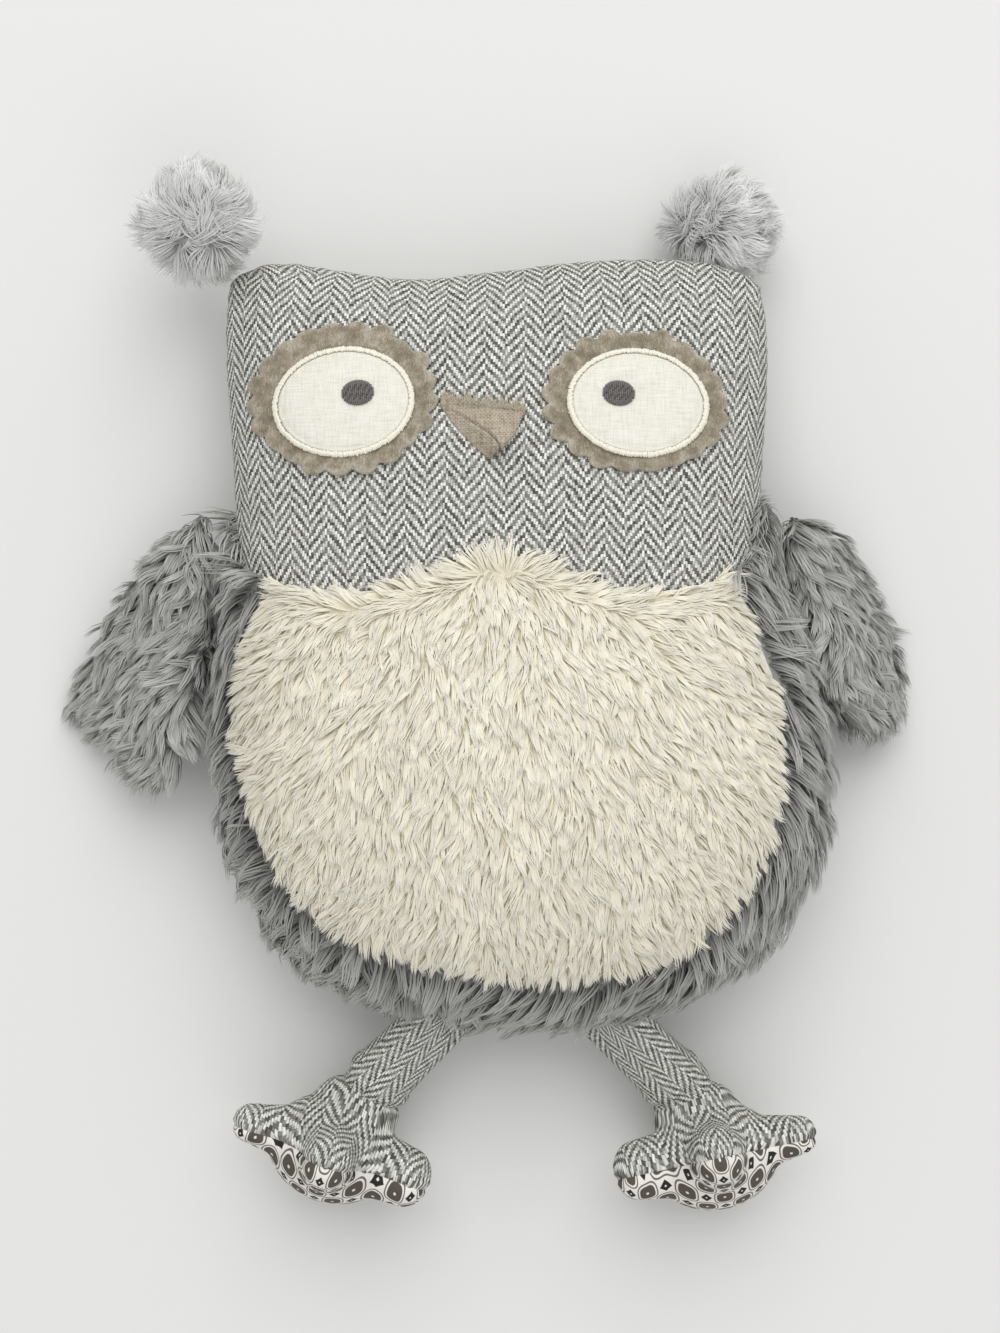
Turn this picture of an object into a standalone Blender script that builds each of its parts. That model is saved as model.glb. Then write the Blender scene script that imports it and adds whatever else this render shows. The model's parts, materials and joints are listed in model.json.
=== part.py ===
# A plush owl lying on its back, in the pieces its maker sews: woven and pile panels round loose
# stuffing, felt and linen eyes, a folded beak, pompom ears, pile wings, stuffed legs and feet.
# Metres. +X runs to the viewer's right, +Y to the head and +Z out of the face and belly.
# Left and right are the viewer's. The owl rests on a flat of its back at Z 0.
import math

import bmesh
import bpy
from mathutils import Matrix, Vector
from mathutils.bvhtree import BVHTree

CLEARANCE = 0.0003  # between pieces that touch
OVERRUN = 0.03  # how far a cutter runs past what it cuts
REST_FLAT_DEPTH = 0.0005  # how deep the back is flattened where it lies

# The cushion that is head and body in one, measured at the inside of its fabric
CUSHION_CENTRE = (0.004, 0.0243)
CUSHION_HALF_WIDTH = 0.110
CUSHION_HALF_LENGTH = 0.1415
CROWN_CENTRE = (0.004, -0.003)  # the cushion swells round this point, front and back
BELLY_CROWN = 0.056
HEAD_CROWN = 0.043
BODY_BACK_DEPTH = 0.027
HEAD_BACK_DEPTH = 0.0265
NECK_Y = 0.052
NECK_BLEND = 0.040
CROWN_SHARE = 0.80
WOVEN_WALL = 0.0012
PILE_WALL = 0.0080

# Six points a side from the top left corner, clockwise, as shares of the half width and length
OUTLINE_SHARES = (
    (-1.010, 0.970), (-0.745, 1.000), (-0.445, 0.938), (-0.109, 0.963), (0.236, 0.998), (0.545, 1.005),
    (0.855, 0.970), (0.865, 0.705), (0.841, 0.450), (0.827, 0.196), (0.945, -0.045), (1.018, -0.313),
    (0.985, -0.610), (0.800, -0.840), (0.527, -0.940), (0.218, -0.992), (-0.091, -0.995), (-0.400, -0.950),
    (-0.710, -0.860), (-0.930, -0.590), (-0.985, -0.285), (-0.945, 0.012), (-0.955, 0.323), (-0.985, 0.641),
)
# The seam under the head, left to right, and the belly outline below it, in the same shares
HEAD_SEAM_SHARES = (
    (-0.960, 0.290), (-0.895, 0.180), (-0.780, 0.125), (-0.640, 0.092), (-0.495, 0.084), (-0.300, 0.115),
    (-0.050, 0.175), (0.200, 0.115), (0.330, 0.084), (0.510, 0.092), (0.660, 0.138), (0.765, 0.210),
    (0.820, 0.335),
)
BELLY_SHARES = (
    (-0.780, 0.105), (-0.850, -0.020), (-0.890, -0.145), (-0.874, -0.315), (-0.780, -0.537), (-0.590, -0.709),
    (-0.305, -0.795), (0.074, -0.842), (0.390, -0.818), (0.580, -0.733), (0.753, -0.585), (0.815, -0.390),
    (0.815, -0.168), (0.760, -0.045), (0.665, 0.125), (0.400, 0.300), (-0.050, 0.330), (-0.500, 0.300),
)
BACK_SEAM_SHARES = ((-0.960, 0.290), (-0.500, 0.250), (0.000, 0.235), (0.450, 0.260), (0.820, 0.335))

# Eyes: a scalloped felt disc, a linen oval with a stitched rim, and a pupil
EYE_FELT_THICKNESS = 0.0022
EYE_LINEN_THICKNESS = 0.0010
EYE_STITCH_WIDTH = 0.0019
EYE_STITCH_HEIGHT = 0.0016
PUPIL_THICKNESS = 0.0009
PUPIL_RADII = (0.0058, 0.0045)
SCALLOPS = 26
SCALLOP_DEPTH = 0.0017
EYE_RING_SHARES = (0.38, 0.72, 1)
# Their places are shares of the cushion's half width and length, as its outline is
EYES = {
    "left": {
        "felt_shares": (-0.552, 0.575), "felt_radii": (0.0332, 0.0272), "tilt": 4,
        "linen_shares": (-0.550, 0.566), "linen_radii": (0.0240, 0.0184), "pupil_shares": (-0.504, 0.589),
    },
    "right": {
        "felt_shares": (0.378, 0.565), "felt_radii": (0.0328, 0.0256), "tilt": -5,
        "linen_shares": (0.379, 0.560), "linen_radii": (0.0239, 0.0182), "pupil_shares": (0.320, 0.582),
    },
}

# The beak, a flap of linen folded along a ridge, sewn along its top edge
BEAK_LEFT_SHARES = (-0.221, 0.565)
BEAK_RIGHT_SHARES = (0.025, 0.539)
BEAK_TIP_SHARES = (-0.072, 0.434)
BEAK_WALL = 0.0011
BEAK_RISE = 0.0075
BEAK_EDGE_RISE_SHARE = 0.27
BEAK_RIDGE_SHARE = 0.55
BEAK_RIDGE_RISE_SHARE = 0.45

# Pompom ears; a tuck is how far the ball is pressed in by the head corner
POMPOM_RADIUS = 0.0210
POMPOM_PILE = 0.0080
POMPOM_MOUTH_RADIUS = 0.0064
POMPOM_THREAD_RADIUS = 0.0011
POMPOM_CENTRE_SHARES = {"left": (-1.055, 1.065), "right": (0.682, 1.079)}
POMPOM_HEIGHTS = {"left": 0.0450, "right": 0.0213}
POMPOM_TUCKS = {"left": 0.0, "right": 0.0050}
POMPOM_TURNS = (0, 15, 30, 45)  # degrees about its thread's root at which it clears the head

# Wings: the root's ends beside the body, then the outline from the root's top, down the root and
# back round the tip, as shares along the root and out from it
WING_HALF_THICKNESS = 0.0078
WING_SWELL_SHARE = 0.62
WING_TURNS = (-10, 0, 15, 30, 45, 60, 75)  # degrees about the root at which a wing clears the body
WINGS = {
    "left": {
        "root_top_shares": (-1.000, 0.334), "root_end_shares": (-1.096, -0.242), "side": -1, "reach": 0.0575,
        "outline_shares": (
            (0.00, 0.00), (0.30, -0.02), (0.62, -0.02), (0.95, 0.00), (1.22, 0.08), (1.30, 0.30),
            (1.12, 0.62), (1.00, 1.03), (0.74, 0.88), (0.47, 0.68), (0.20, 0.42), (0.01, 0.16),
        ),
    },
    "right": {
        "root_top_shares": (0.914, 0.337), "root_end_shares": (1.091, -0.165), "side": 1, "reach": 0.0405,
        "outline_shares": (
            (0.00, 0.00), (0.30, -0.02), (0.62, -0.02), (0.95, 0.00), (1.14, 0.12), (1.22, 0.38),
            (1.20, 0.72), (1.04, 1.00), (0.76, 1.00), (0.48, 0.92), (0.22, 0.66), (0.03, 0.26),
        ),
    },
}

# Legs and feet; a leg is flat at the hip seam and round at the ankle
LEG_RADIUS = 0.0125
LEG_ANKLE_RADIUS = 0.0140
LEG_TOP_HALF_THICKNESS = 0.0034
LEG_WALL = 0.0012
# Places down the leg with the half width and half depth there, then past the ankle's middle
LEG_SECTION_SHARES = (
    (0, 1.10, 0), (0.16, 1.08, 0.45), (0.42, 1.00, 0.92), (0.72, 1.02, 1.04), (1, 1.12, 1.12),
)
ANKLE_END_SHARES = ((0.50, 0.87), (0.89, 0.45))
HIP_PROBE_SHARES = (-0.75, -0.50, -0.25, 0.25, 0.50, 0.75)
ANKLE_SINK = 0.0050
ANKLE_TOEWARD_SHARE = 0.15
ANKLE_FLARE_SHARE = 0.35
FOOT_WALL = 0.0012
FOOT_HALF_WIDTH = 0.0392
FOOT_TOE_LENGTH = 0.0430
FOOT_TOP_RISE = 0.0150
FOOT_SOLE_DROP = 0.0120
FOOT_SWELL_SHARE = 0.75
FOOT_CORNER_SHARE = 0.625
# Half of the three toed outline, heel to middle toe, in shares of the half width and toe length
FOOT_SHARES = (
    (0.0, -0.47), (0.36, -0.41), (0.56, -0.20), (0.66, 0.03), (0.92, 0.20), (1.04, 0.42), (0.86, 0.53),
    (0.42, 0.44), (0.30, 0.70), (0.22, 0.94), (0.0, 1.02),
)
LEGS = {
    "left": {
        "hip_share": -0.318, "foot_reach": (-0.0264, -0.0438), "outward": -20, "headward": 10, "roll": -19,
    },
    "right": {
        "hip_share": 0.382, "foot_reach": (0.0255, -0.0458), "outward": 17, "headward": 16, "roll": 12,
    },
}

# What lies on or in another piece stands off it by clearances
STUFFING_GAP = 4 * CLEARANCE
FELT_BASE = 4 * CLEARANCE
LINEN_BASE = 2 * CLEARANCE
BEAK_BASE = 2 * CLEARANCE
WING_ROOT_GAP = 2 * CLEARANCE
BODY_FORM_GAP = 2.4 * CLEARANCE
HIP_GAP = LEG_TOP_HALF_THICKNESS + CLEARANCE / 2
ANKLE_SOCKET_RADIUS = LEG_ANKLE_RADIUS + 2 * CLEARANCE

# How finely the forms are made
CAGE_CELLS = 8
WING_CELLS = 6
FOOT_CELLS = 6
ROUND_CELLS = 8
SCALLOP_CELLS = 2
RIM_POINTS = 36
RIM_OUTSIDE = 2  # where the outer ring of a rim's sheet lies before it is laid, in shares of the inner
DROOP_STEPS = 24
WING_PROBES = 8
WELD = 0.00001

# Linear red, green and blue
COLOURS = {
    "tweed": (0.40, 0.39, 0.36), "cream_pile": (0.80, 0.76, 0.62), "grey_pile": (0.25, 0.25, 0.24),
    "pale_pile": (0.46, 0.46, 0.45), "felt": (0.34, 0.30, 0.24), "linen": (0.80, 0.77, 0.68),
    "stitching": (0.86, 0.84, 0.74), "pupil": (0.12, 0.11, 0.11), "beak_linen": (0.42, 0.36, 0.28),
    "print": (0.42, 0.39, 0.36), "stuffing": (0.90, 0.90, 0.88), "thread": (0.60, 0.60, 0.58),
}


def clear_scene():
    for old in list(bpy.data.objects):
        bpy.data.objects.remove(old, do_unlink=True)


def new_collection(name):
    made = bpy.data.collections.new(name)
    bpy.context.scene.collection.children.link(made)
    return made


def place(name, mesh, finish, hidden=False):
    # One named object with its own material, or a cutter in the other collection
    thing = bpy.data.objects.new(name, mesh)
    (cutters if hidden else owl).objects.link(thing)
    if hidden:
        thing.hide_render = True
        thing.display_type = "WIRE"
        return thing
    material = bpy.data.materials.new(name + "_" + finish)
    material.use_nodes = True
    shader = material.node_tree.nodes["Principled BSDF"]
    shader.inputs["Base Color"].default_value = (*COLOURS[finish], 1)
    shader.inputs["Roughness"].default_value = 0.9
    shader.inputs["Metallic"].default_value = 0
    mesh.materials.append(material)
    mesh.shade_smooth()
    return thing


def to_mesh(shape, name):
    mesh = bpy.data.meshes.new(name)
    shape.to_mesh(mesh)
    shape.free()
    return mesh


def subdivide(thing):
    # One round of smoothing, then the same triangles wherever the same cage is used
    smooth = thing.modifiers.new("smooth", "SUBSURF")
    smooth.levels = 1
    smooth.render_levels = 1
    facets = thing.modifiers.new("facets", "TRIANGULATE")
    facets.quad_method = "SHORTEST_DIAGONAL"


def outward(shape):
    shape.normal_update()
    bmesh.ops.recalc_face_normals(shape, faces=shape.faces)
    return shape


def wall(thing, thickness, side):
    # side 1 grows the wall outward from the sheet, -1 inward
    shell = thing.modifiers.new("wall", "SOLIDIFY")
    shell.thickness = thickness
    shell.offset = side


def cut(thing, cutter, operation="DIFFERENCE"):
    change = thing.modifiers.new(cutter.name, "BOOLEAN")
    change.operation = operation
    change.object = cutter
    change.solver = "EXACT"


def cut_for_swing(pieces, form, at, axis, turns):
    # Cuts pieces by a larger form as they would meet it at each turn, in degrees, about their hinge
    for turn in turns:
        met = form.copy()
        cutters.objects.link(met)
        back = Matrix.Rotation(math.radians(-turn), 4, axis)
        met.matrix_world = Matrix.Translation(at) @ back @ Matrix.Translation(-at)
        for piece in pieces:
            cut(piece, met)


def evaluated(thing):
    # The object's finished mesh, in world space, as points and triangles
    bpy.context.view_layer.update()
    finished = thing.evaluated_get(bpy.context.evaluated_depsgraph_get())
    mesh = finished.to_mesh()
    mesh.calc_loop_triangles()
    points = [thing.matrix_world @ v.co for v in mesh.vertices]
    faces = [tuple(t.vertices) for t in mesh.loop_triangles]
    finished.to_mesh_clear()
    return points, faces


def tree_of(*things):
    points = []
    faces = []
    for thing in things:
        start = len(points)
        some, tris = evaluated(thing)
        points += some
        faces += [tuple(i + start for i in tri) for tri in tris]
    return BVHTree.FromPolygons(points, faces)


def spline(points, at):
    # A closed smooth curve through the points, read at a point number with its fraction
    i = math.floor(at)
    t = at - i
    near = [Vector(points[(i + k) % len(points)]) for k in (-1, 0, 1, 2)]
    weights = (-t + 2 * t**2 - t**3, 2 - 5 * t**2 + 3 * t**3, t + 4 * t**2 - 3 * t**3, t**3 - t**2)
    return sum((p * w for p, w in zip(near, weights)), Vector((0, 0))) / 2


def square_turn(a, b):
    # Where a grid point's ring stands on its way round, 0 to 4 clockwise from the top left corner
    ring = max(abs(a), abs(b))
    a, b = a / ring, b / ring
    if b > 1 - 1e-6:
        return (a + 1) / 2
    if a > 1 - 1e-6:
        return 1 + (1 - b) / 2
    if b < -1 + 1e-6:
        return 2 + (1 - a) / 2
    return 3 + (b + 1) / 2


def puff(cells, outline, dome, power=1.0):
    # A sheet from a square grid: its rings follow the outline and its height follows the dome
    shape = bmesh.new()
    bmesh.ops.create_grid(shape, x_segments=cells, y_segments=cells, size=1)
    for v in shape.verts:
        a, b = v.co.x, v.co.y
        ring = max(abs(a), abs(b))
        angle = min(ring, 1) * math.pi / 2
        spread = math.sin(angle) ** power
        height = max(math.cos(angle), 0) ** power if ring < 1 - 1e-6 else 0
        edge = outline(square_turn(a, b)) if ring > 1e-6 else Vector((0, 0))
        v.co = dome(edge * spread, height)
    return shape


def flip(shape):
    bmesh.ops.reverse_faces(shape, faces=shape.faces)
    return shape


def joined(front, back):
    # Two sheets that share their rim, made one closed body with the rim kept sharp
    mesh = to_mesh(back, "half")
    front.from_mesh(mesh)
    bpy.data.meshes.remove(mesh)
    crease = front.edges.layers.float.new("crease_edge")
    for e in front.edges:
        e[crease] = e.is_boundary
    bmesh.ops.remove_doubles(front, verts=front.verts, dist=WELD)
    return front


def shared(point):
    # A point of the cushion's share tables, in metres
    return Vector(CUSHION_CENTRE) + Vector((point[0] * CUSHION_HALF_WIDTH, point[1] * CUSHION_HALF_LENGTH))


def smoothstep(x):
    x = min(max(x, 0), 1)
    return x * x * (3 - 2 * x)


def cushion_sheet(front, height=0, scale=1):
    # The cushion's inner surface, front or back, as an open cage
    middle = Vector(CROWN_CENTRE)

    def outline(turn):
        return shared(spline(OUTLINE_SHARES, turn * len(OUTLINE_SHARES) / 4)) - middle

    def dome(flat, rise):
        to_head = smoothstep((middle.y + flat.y - NECK_Y + NECK_BLEND / 2) / NECK_BLEND)
        crown = BELLY_CROWN + (HEAD_CROWN - BELLY_CROWN) * to_head
        depth = -BODY_BACK_DEPTH + (BODY_BACK_DEPTH - HEAD_BACK_DEPTH) * to_head
        at = middle + flat * scale
        return Vector((at.x, at.y, height + (crown if front else depth) * rise * scale))

    made = puff(CAGE_CELLS, outline, dome, CROWN_SHARE)
    return made if front else flip(made)


def prism(name, points, low, high):
    # A cutter with this outline, standing from low to high
    shape = bmesh.new()
    base = shape.faces.new([shape.verts.new((p[0], p[1], low)) for p in points])
    base.normal_update()
    if base.normal.z > 0:
        base.normal_flip()
    grown = bmesh.ops.extrude_face_region(shape, geom=[base])["geom"]
    tops = [v for v in grown if isinstance(v, bmesh.types.BMVert)]
    bmesh.ops.translate(shape, verts=tops, vec=(0, 0, high - low))
    return place(name, to_mesh(outward(shape), name), None, hidden=True)


def above(seam, shift):
    # The region on the head's side of a seam, closed far outside the cushion
    line = [shared(p) + Vector((0, shift)) for p in seam]
    far = CUSHION_HALF_WIDTH + OVERRUN
    top = CUSHION_CENTRE[1] + CUSHION_HALF_LENGTH + OVERRUN
    left, right = CUSHION_CENTRE[0] - far, CUSHION_CENTRE[0] + far
    ends = [(right, line[-1].y), (right, top), (left, top), (left, line[0].y)]
    return line + [Vector(end) for end in ends]


def grown(points, by):
    middle = sum((Vector(p) for p in points), Vector((0, 0))) / len(points)
    return [Vector(p) + (Vector(p) - middle).normalized() * by for p in points]


def cushion_panel(name, front, thickness, finish, cuts):
    height = seam_height + (CLEARANCE if front else -CLEARANCE) / 2
    panel = place(name, to_mesh(cushion_sheet(front, height), name), finish)
    subdivide(panel)
    wall(panel, thickness, 1)
    for cutter, operation in cuts:
        cut(panel, cutter, operation)
    return panel


def find_seam_height():
    # High enough that only the flat of the grey back reaches below Z 0
    trial = place("trial", to_mesh(cushion_sheet(False), "trial"), None, hidden=True)
    subdivide(trial)
    lowest = min(p.z for p in evaluated(trial)[0])
    bpy.data.objects.remove(trial, do_unlink=True)
    return PILE_WALL - lowest - REST_FLAT_DEPTH + CLEARANCE / 2


def displace(thing, distance):
    # Moves the surface out along its normals, or in where the distance is negative
    growth = thing.modifiers.new("growth", "DISPLACE")
    growth.strength = distance
    growth.mid_level = 0


def cushion_form(name, finish, distance, scale=1):
    # The whole cushion as one solid, grown or shrunk from the inside of its fabric
    form = joined(cushion_sheet(True, seam_height, scale), cushion_sheet(False, seam_height, scale))
    solid = place(name, to_mesh(form, name), finish, hidden=finish is None)
    subdivide(solid)
    displace(solid, distance)
    return solid


def build_cushion():
    low, high = -OVERRUN, seam_height + BELLY_CROWN + PILE_WALL + OVERRUN
    head = prism("head_cutter", above(HEAD_SEAM_SHARES, CLEARANCE), seam_height - CLEARANCE, high)
    not_head = prism("under_head_cutter", above(HEAD_SEAM_SHARES, 0), seam_height - CLEARANCE, high)
    belly_outline = [shared(spline(BELLY_SHARES, i / 2)) for i in range(2 * len(BELLY_SHARES))]
    belly = prism("belly_cutter", belly_outline, seam_height, high)
    round_belly = prism("round_belly_cutter", grown(belly_outline, CLEARANCE), seam_height, high)
    back = prism("head_back_cutter", above(BACK_SEAM_SHARES, CLEARANCE), low, seam_height + CLEARANCE)
    not_back = prism("under_head_back_cutter", above(BACK_SEAM_SHARES, 0), low, seam_height + CLEARANCE)
    far = 2 * CUSHION_HALF_LENGTH
    floor = prism("rest_cutter", [(-far, -far), (far, -far), (far, far), (-far, far)], low, 0)
    under_head = (not_head, "DIFFERENCE")
    cushion_panel("head_front_panel", True, WOVEN_WALL, "tweed", [(head, "INTERSECT")])
    cushion_panel("belly_panel", True, PILE_WALL, "cream_pile", [(belly, "INTERSECT"), under_head])
    cushion_panel("body_front_panel", True, PILE_WALL, "grey_pile", [(round_belly, "DIFFERENCE"), under_head])
    cushion_panel("head_back_panel", False, WOVEN_WALL, "tweed", [(back, "INTERSECT")])
    floor_cuts = [(not_back, "DIFFERENCE"), (floor, "DIFFERENCE")]
    cushion_panel("body_back_panel", False, PILE_WALL, "grey_pile", floor_cuts)
    loose = 1 - 2 * STUFFING_GAP / CUSHION_HALF_WIDTH
    cushion_form("body_stuffing", "stuffing", -STUFFING_GAP, loose)


def face_up(shape):
    shape.normal_update()
    return flip(shape) if sum(f.normal.z for f in shape.faces) < 0 else shape


def rings_of(count, ring_shares, filled):
    # A flat sheet of rings about the origin, with the radius 1, filled in the middle or open there
    shape = bmesh.new()
    bmesh.ops.create_circle(shape, cap_ends=filled, cap_tris=True, segments=count, radius=1)
    bmesh.ops.scale(shape, verts=shape.verts, vec=(ring_shares[0], ring_shares[0], 1))
    edge = [e for e in shape.edges if len(e.link_faces) < 2]
    for inner, outer in zip(ring_shares, ring_shares[1:]):
        made = bmesh.ops.extrude_edge_only(shape, edges=edge)["geom"]
        verts = [v for v in made if isinstance(v, bmesh.types.BMVert)]
        bmesh.ops.scale(shape, verts=verts, vec=(outer / inner, outer / inner, 1))
        edge = [e for e in made if isinstance(e, bmesh.types.BMEdge) and all(v in verts for v in e.verts)]
    return face_up(shape)


def laid(name, shape, spot, base, thickness, finish, carrier):
    # A flat piece laid on a carrying surface and raised by base; spot gives each point its place
    for v in shape.verts:
        v.co = on_carrier(carrier, spot(v.co), base)
    piece = place(name, to_mesh(shape, name), finish)
    wall(piece, thickness, 1)
    return piece


def on_carrier(carrier, flat, raised):
    # The point of a carrying surface seen from the front, raised along its normal
    high = seam_height + BELLY_CROWN + OVERRUN
    hit, normal, _, _ = carrier.ray_cast(Vector((*flat[:2], high)), Vector((0, 0, -1)))
    return hit + normal * raised


def oval(centre, radii, tilt, reaches=(0,)):
    # Places a point of the unit disc on a tilted oval whose rim reaches out by turns
    turn = Matrix.Rotation(math.radians(tilt), 2)

    def spot(point):
        share = math.atan2(point.y, point.x) / (2 * math.pi)
        reach = reaches[round(share * len(reaches)) % len(reaches)]
        flat = Vector((point.x * (radii[0] + reach), point.y * (radii[1] + reach)))
        return centre + turn @ flat

    return spot


def build_eye(side, eye, head):
    count = SCALLOPS * SCALLOP_CELLS
    scallops = [SCALLOP_DEPTH * abs(math.sin(math.pi * i / SCALLOP_CELLS)) for i in range(count)]
    felt_spot = oval(shared(eye["felt_shares"]), eye["felt_radii"], eye["tilt"], scallops)
    felt_sheet = rings_of(count, EYE_RING_SHARES, True)
    felt = laid("eye_felt_" + side, felt_sheet, felt_spot, FELT_BASE, EYE_FELT_THICKNESS, "felt", head)
    on_felt = tree_of(felt)
    linen_spot = oval(shared(eye["linen_shares"]), eye["linen_radii"], eye["tilt"])
    linen_sheet = rings_of(RIM_POINTS, EYE_RING_SHARES, True)
    laid("eye_linen_" + side, linen_sheet, linen_spot, LINEN_BASE, EYE_LINEN_THICKNESS, "linen", on_felt)
    pupil_spot = oval(shared(eye["pupil_shares"]), PUPIL_RADII, eye["tilt"])
    pupil_base = LINEN_BASE + EYE_LINEN_THICKNESS + CLEARANCE
    pupil_sheet = rings_of(RIM_POINTS // 2, (1,), True)
    laid("pupil_" + side, pupil_sheet, pupil_spot, pupil_base, PUPIL_THICKNESS, "pupil", on_felt)
    inner_radii = [radius + CLEARANCE for radius in eye["linen_radii"]]
    outer_radii = [radius + EYE_STITCH_WIDTH for radius in inner_radii]
    inner_spot = oval(shared(eye["linen_shares"]), inner_radii, eye["tilt"])
    outer_spot = oval(shared(eye["linen_shares"]), outer_radii, eye["tilt"])
    rim_sheet = rings_of(RIM_POINTS, (1, RIM_OUTSIDE), False)

    def rim_spot(point):
        inside = point.length < (1 + RIM_OUTSIDE) / 2
        return inner_spot(point) if inside else outer_spot(point / RIM_OUTSIDE)

    laid("eye_rim_" + side, rim_sheet, rim_spot, CLEARANCE, EYE_STITCH_HEIGHT, "stitching", on_felt)


def build_beak(head):
    # A fan of six folds about the ridge, which stands proud; the flap is open behind
    left = on_carrier(head, shared(BEAK_LEFT_SHARES), BEAK_BASE)
    right = on_carrier(head, shared(BEAK_RIGHT_SHARES), BEAK_BASE)
    tip = on_carrier(head, shared(BEAK_TIP_SHARES), BEAK_RISE)
    middle = on_carrier(head, (left + right) / 2, BEAK_BASE + BEAK_RISE * BEAK_EDGE_RISE_SHARE)
    low_left = on_carrier(head, (left + tip) / 2, BEAK_BASE)
    low_right = on_carrier(head, (right + tip) / 2, BEAK_BASE)
    ridge = middle.lerp(tip, BEAK_RIDGE_SHARE) + Vector((0, 0, BEAK_RISE * BEAK_RIDGE_RISE_SHARE))
    rim = (right, middle, left, low_left, tip, low_right)
    shape = bmesh.new()
    bmesh.ops.create_circle(shape, cap_ends=True, cap_tris=True, segments=len(rim), radius=1)
    for v in shape.verts:
        share = math.atan2(v.co.y, v.co.x) / (2 * math.pi) - 1 / 12
        v.co = rim[round(share * len(rim)) % len(rim)] if v.is_boundary else ridge
    mesh = to_mesh(face_up(shape), "beak")
    beak = place("beak", mesh, "beak_linen")
    wall(beak, BEAK_WALL, 1)
    hang("beak_edge", middle, [beak])
    edge = (right - left).normalized()
    print("beak edge", [round(c, 5) for c in middle], "axis", [round(c, 4) for c in edge])


def hang(name, at, pieces, parent=None):
    # An empty on the joint's axis, which carries the pieces that turn about it
    joint = bpy.data.objects.new(name, None)
    owl.objects.link(joint)
    joint.location = at
    for piece in pieces:
        piece.parent = joint
        piece.matrix_parent_inverse = Matrix.Translation(-Vector(at))
    if parent:
        joint.parent = parent
        joint.matrix_parent_inverse = Matrix.Translation(-parent.location)
    return joint


def ball(radius):
    shape = bmesh.new()
    bmesh.ops.create_uvsphere(shape, u_segments=2 * ROUND_CELLS, v_segments=ROUND_CELLS, radius=radius)
    return shape


def rod(segments, low_radius, high_radius, depth):
    shape = bmesh.new()
    bmesh.ops.create_cone(
        shape, cap_ends=True, segments=segments, radius1=low_radius, radius2=high_radius, depth=depth
    )
    return shape


def aim(way, at):
    # World placement with local +Z along a direction
    return Matrix.Translation(at) @ Vector(way).to_track_quat("Z", "Y").to_matrix().to_4x4()


def build_pompom(side, head, head_form):
    # A hollow ball of pile, open where its thread comes out and goes into the head
    wish = Vector((*shared(POMPOM_CENTRE_SHARES[side]), POMPOM_HEIGHTS[side]))
    tuck = POMPOM_TUCKS[side]
    root = head.find_nearest(wish)[0]
    way = (wish - root).normalized()
    reach = POMPOM_RADIUS + 2 * CLEARANCE - tuck
    centre = root + way * reach
    shape = ball(POMPOM_RADIUS)
    pole = min(shape.verts, key=lambda v: v.co.z)
    mouth = [e.other_vert(pole) for e in pole.link_edges]
    bmesh.ops.delete(shape, geom=[pole], context="VERTS")
    for v in mouth:
        flat = v.co.xy.normalized() * POMPOM_MOUTH_RADIUS
        v.co = (*flat, -math.sqrt(POMPOM_RADIUS**2 - POMPOM_MOUTH_RADIUS**2))
    cover = place("pompom_cover_" + side, to_mesh(shape, "cover"), "pale_pile")
    cover.matrix_world = aim(way, centre)
    wall(cover, POMPOM_PILE, -1)
    side_axis = way.cross(Vector((0, 0, 1))).normalized()
    if tuck:
        cut_for_swing([cover], head_form, root, side_axis, POMPOM_TURNS)
    # a faceted sphere's flats lie nearer its middle than its corners
    flat_share = math.cos(math.pi / 2 / ROUND_CELLS) ** 2
    inner_radius = (POMPOM_RADIUS - POMPOM_PILE) * flat_share - 2 * CLEARANCE
    inner = place("pompom_stuffing_" + side, to_mesh(ball(inner_radius), "inner"), "stuffing")
    inner.matrix_world = aim(way, centre)
    start, end = 2 * CLEARANCE, reach - inner_radius - 2 * CLEARANCE
    twist = rod(ROUND_CELLS, POMPOM_THREAD_RADIUS, POMPOM_THREAD_RADIUS, end - start)
    thread = place("pompom_thread_" + side, to_mesh(twist, "thread"), "thread")
    thread.matrix_world = aim(way, root + way * (start + end) / 2)
    hang("pompom_joint_" + side, root, [cover, inner, thread])
    print("pompom", side, "root", [round(c, 5) for c in root], "axis", [round(c, 4) for c in side_axis])


def droop_to_floor(points):
    # How far a flap hung at the seam's height turns down until it all but meets the table
    least, most = 0, math.pi / 2
    for _ in range(DROOP_STEPS):
        angle = (least + most) / 2
        lowest = min(seam_height - p.y * math.sin(angle) + p.z * math.cos(angle) for p in points)
        least, most = (angle, most) if lowest > CLEARANCE else (least, angle)
    return least


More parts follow.
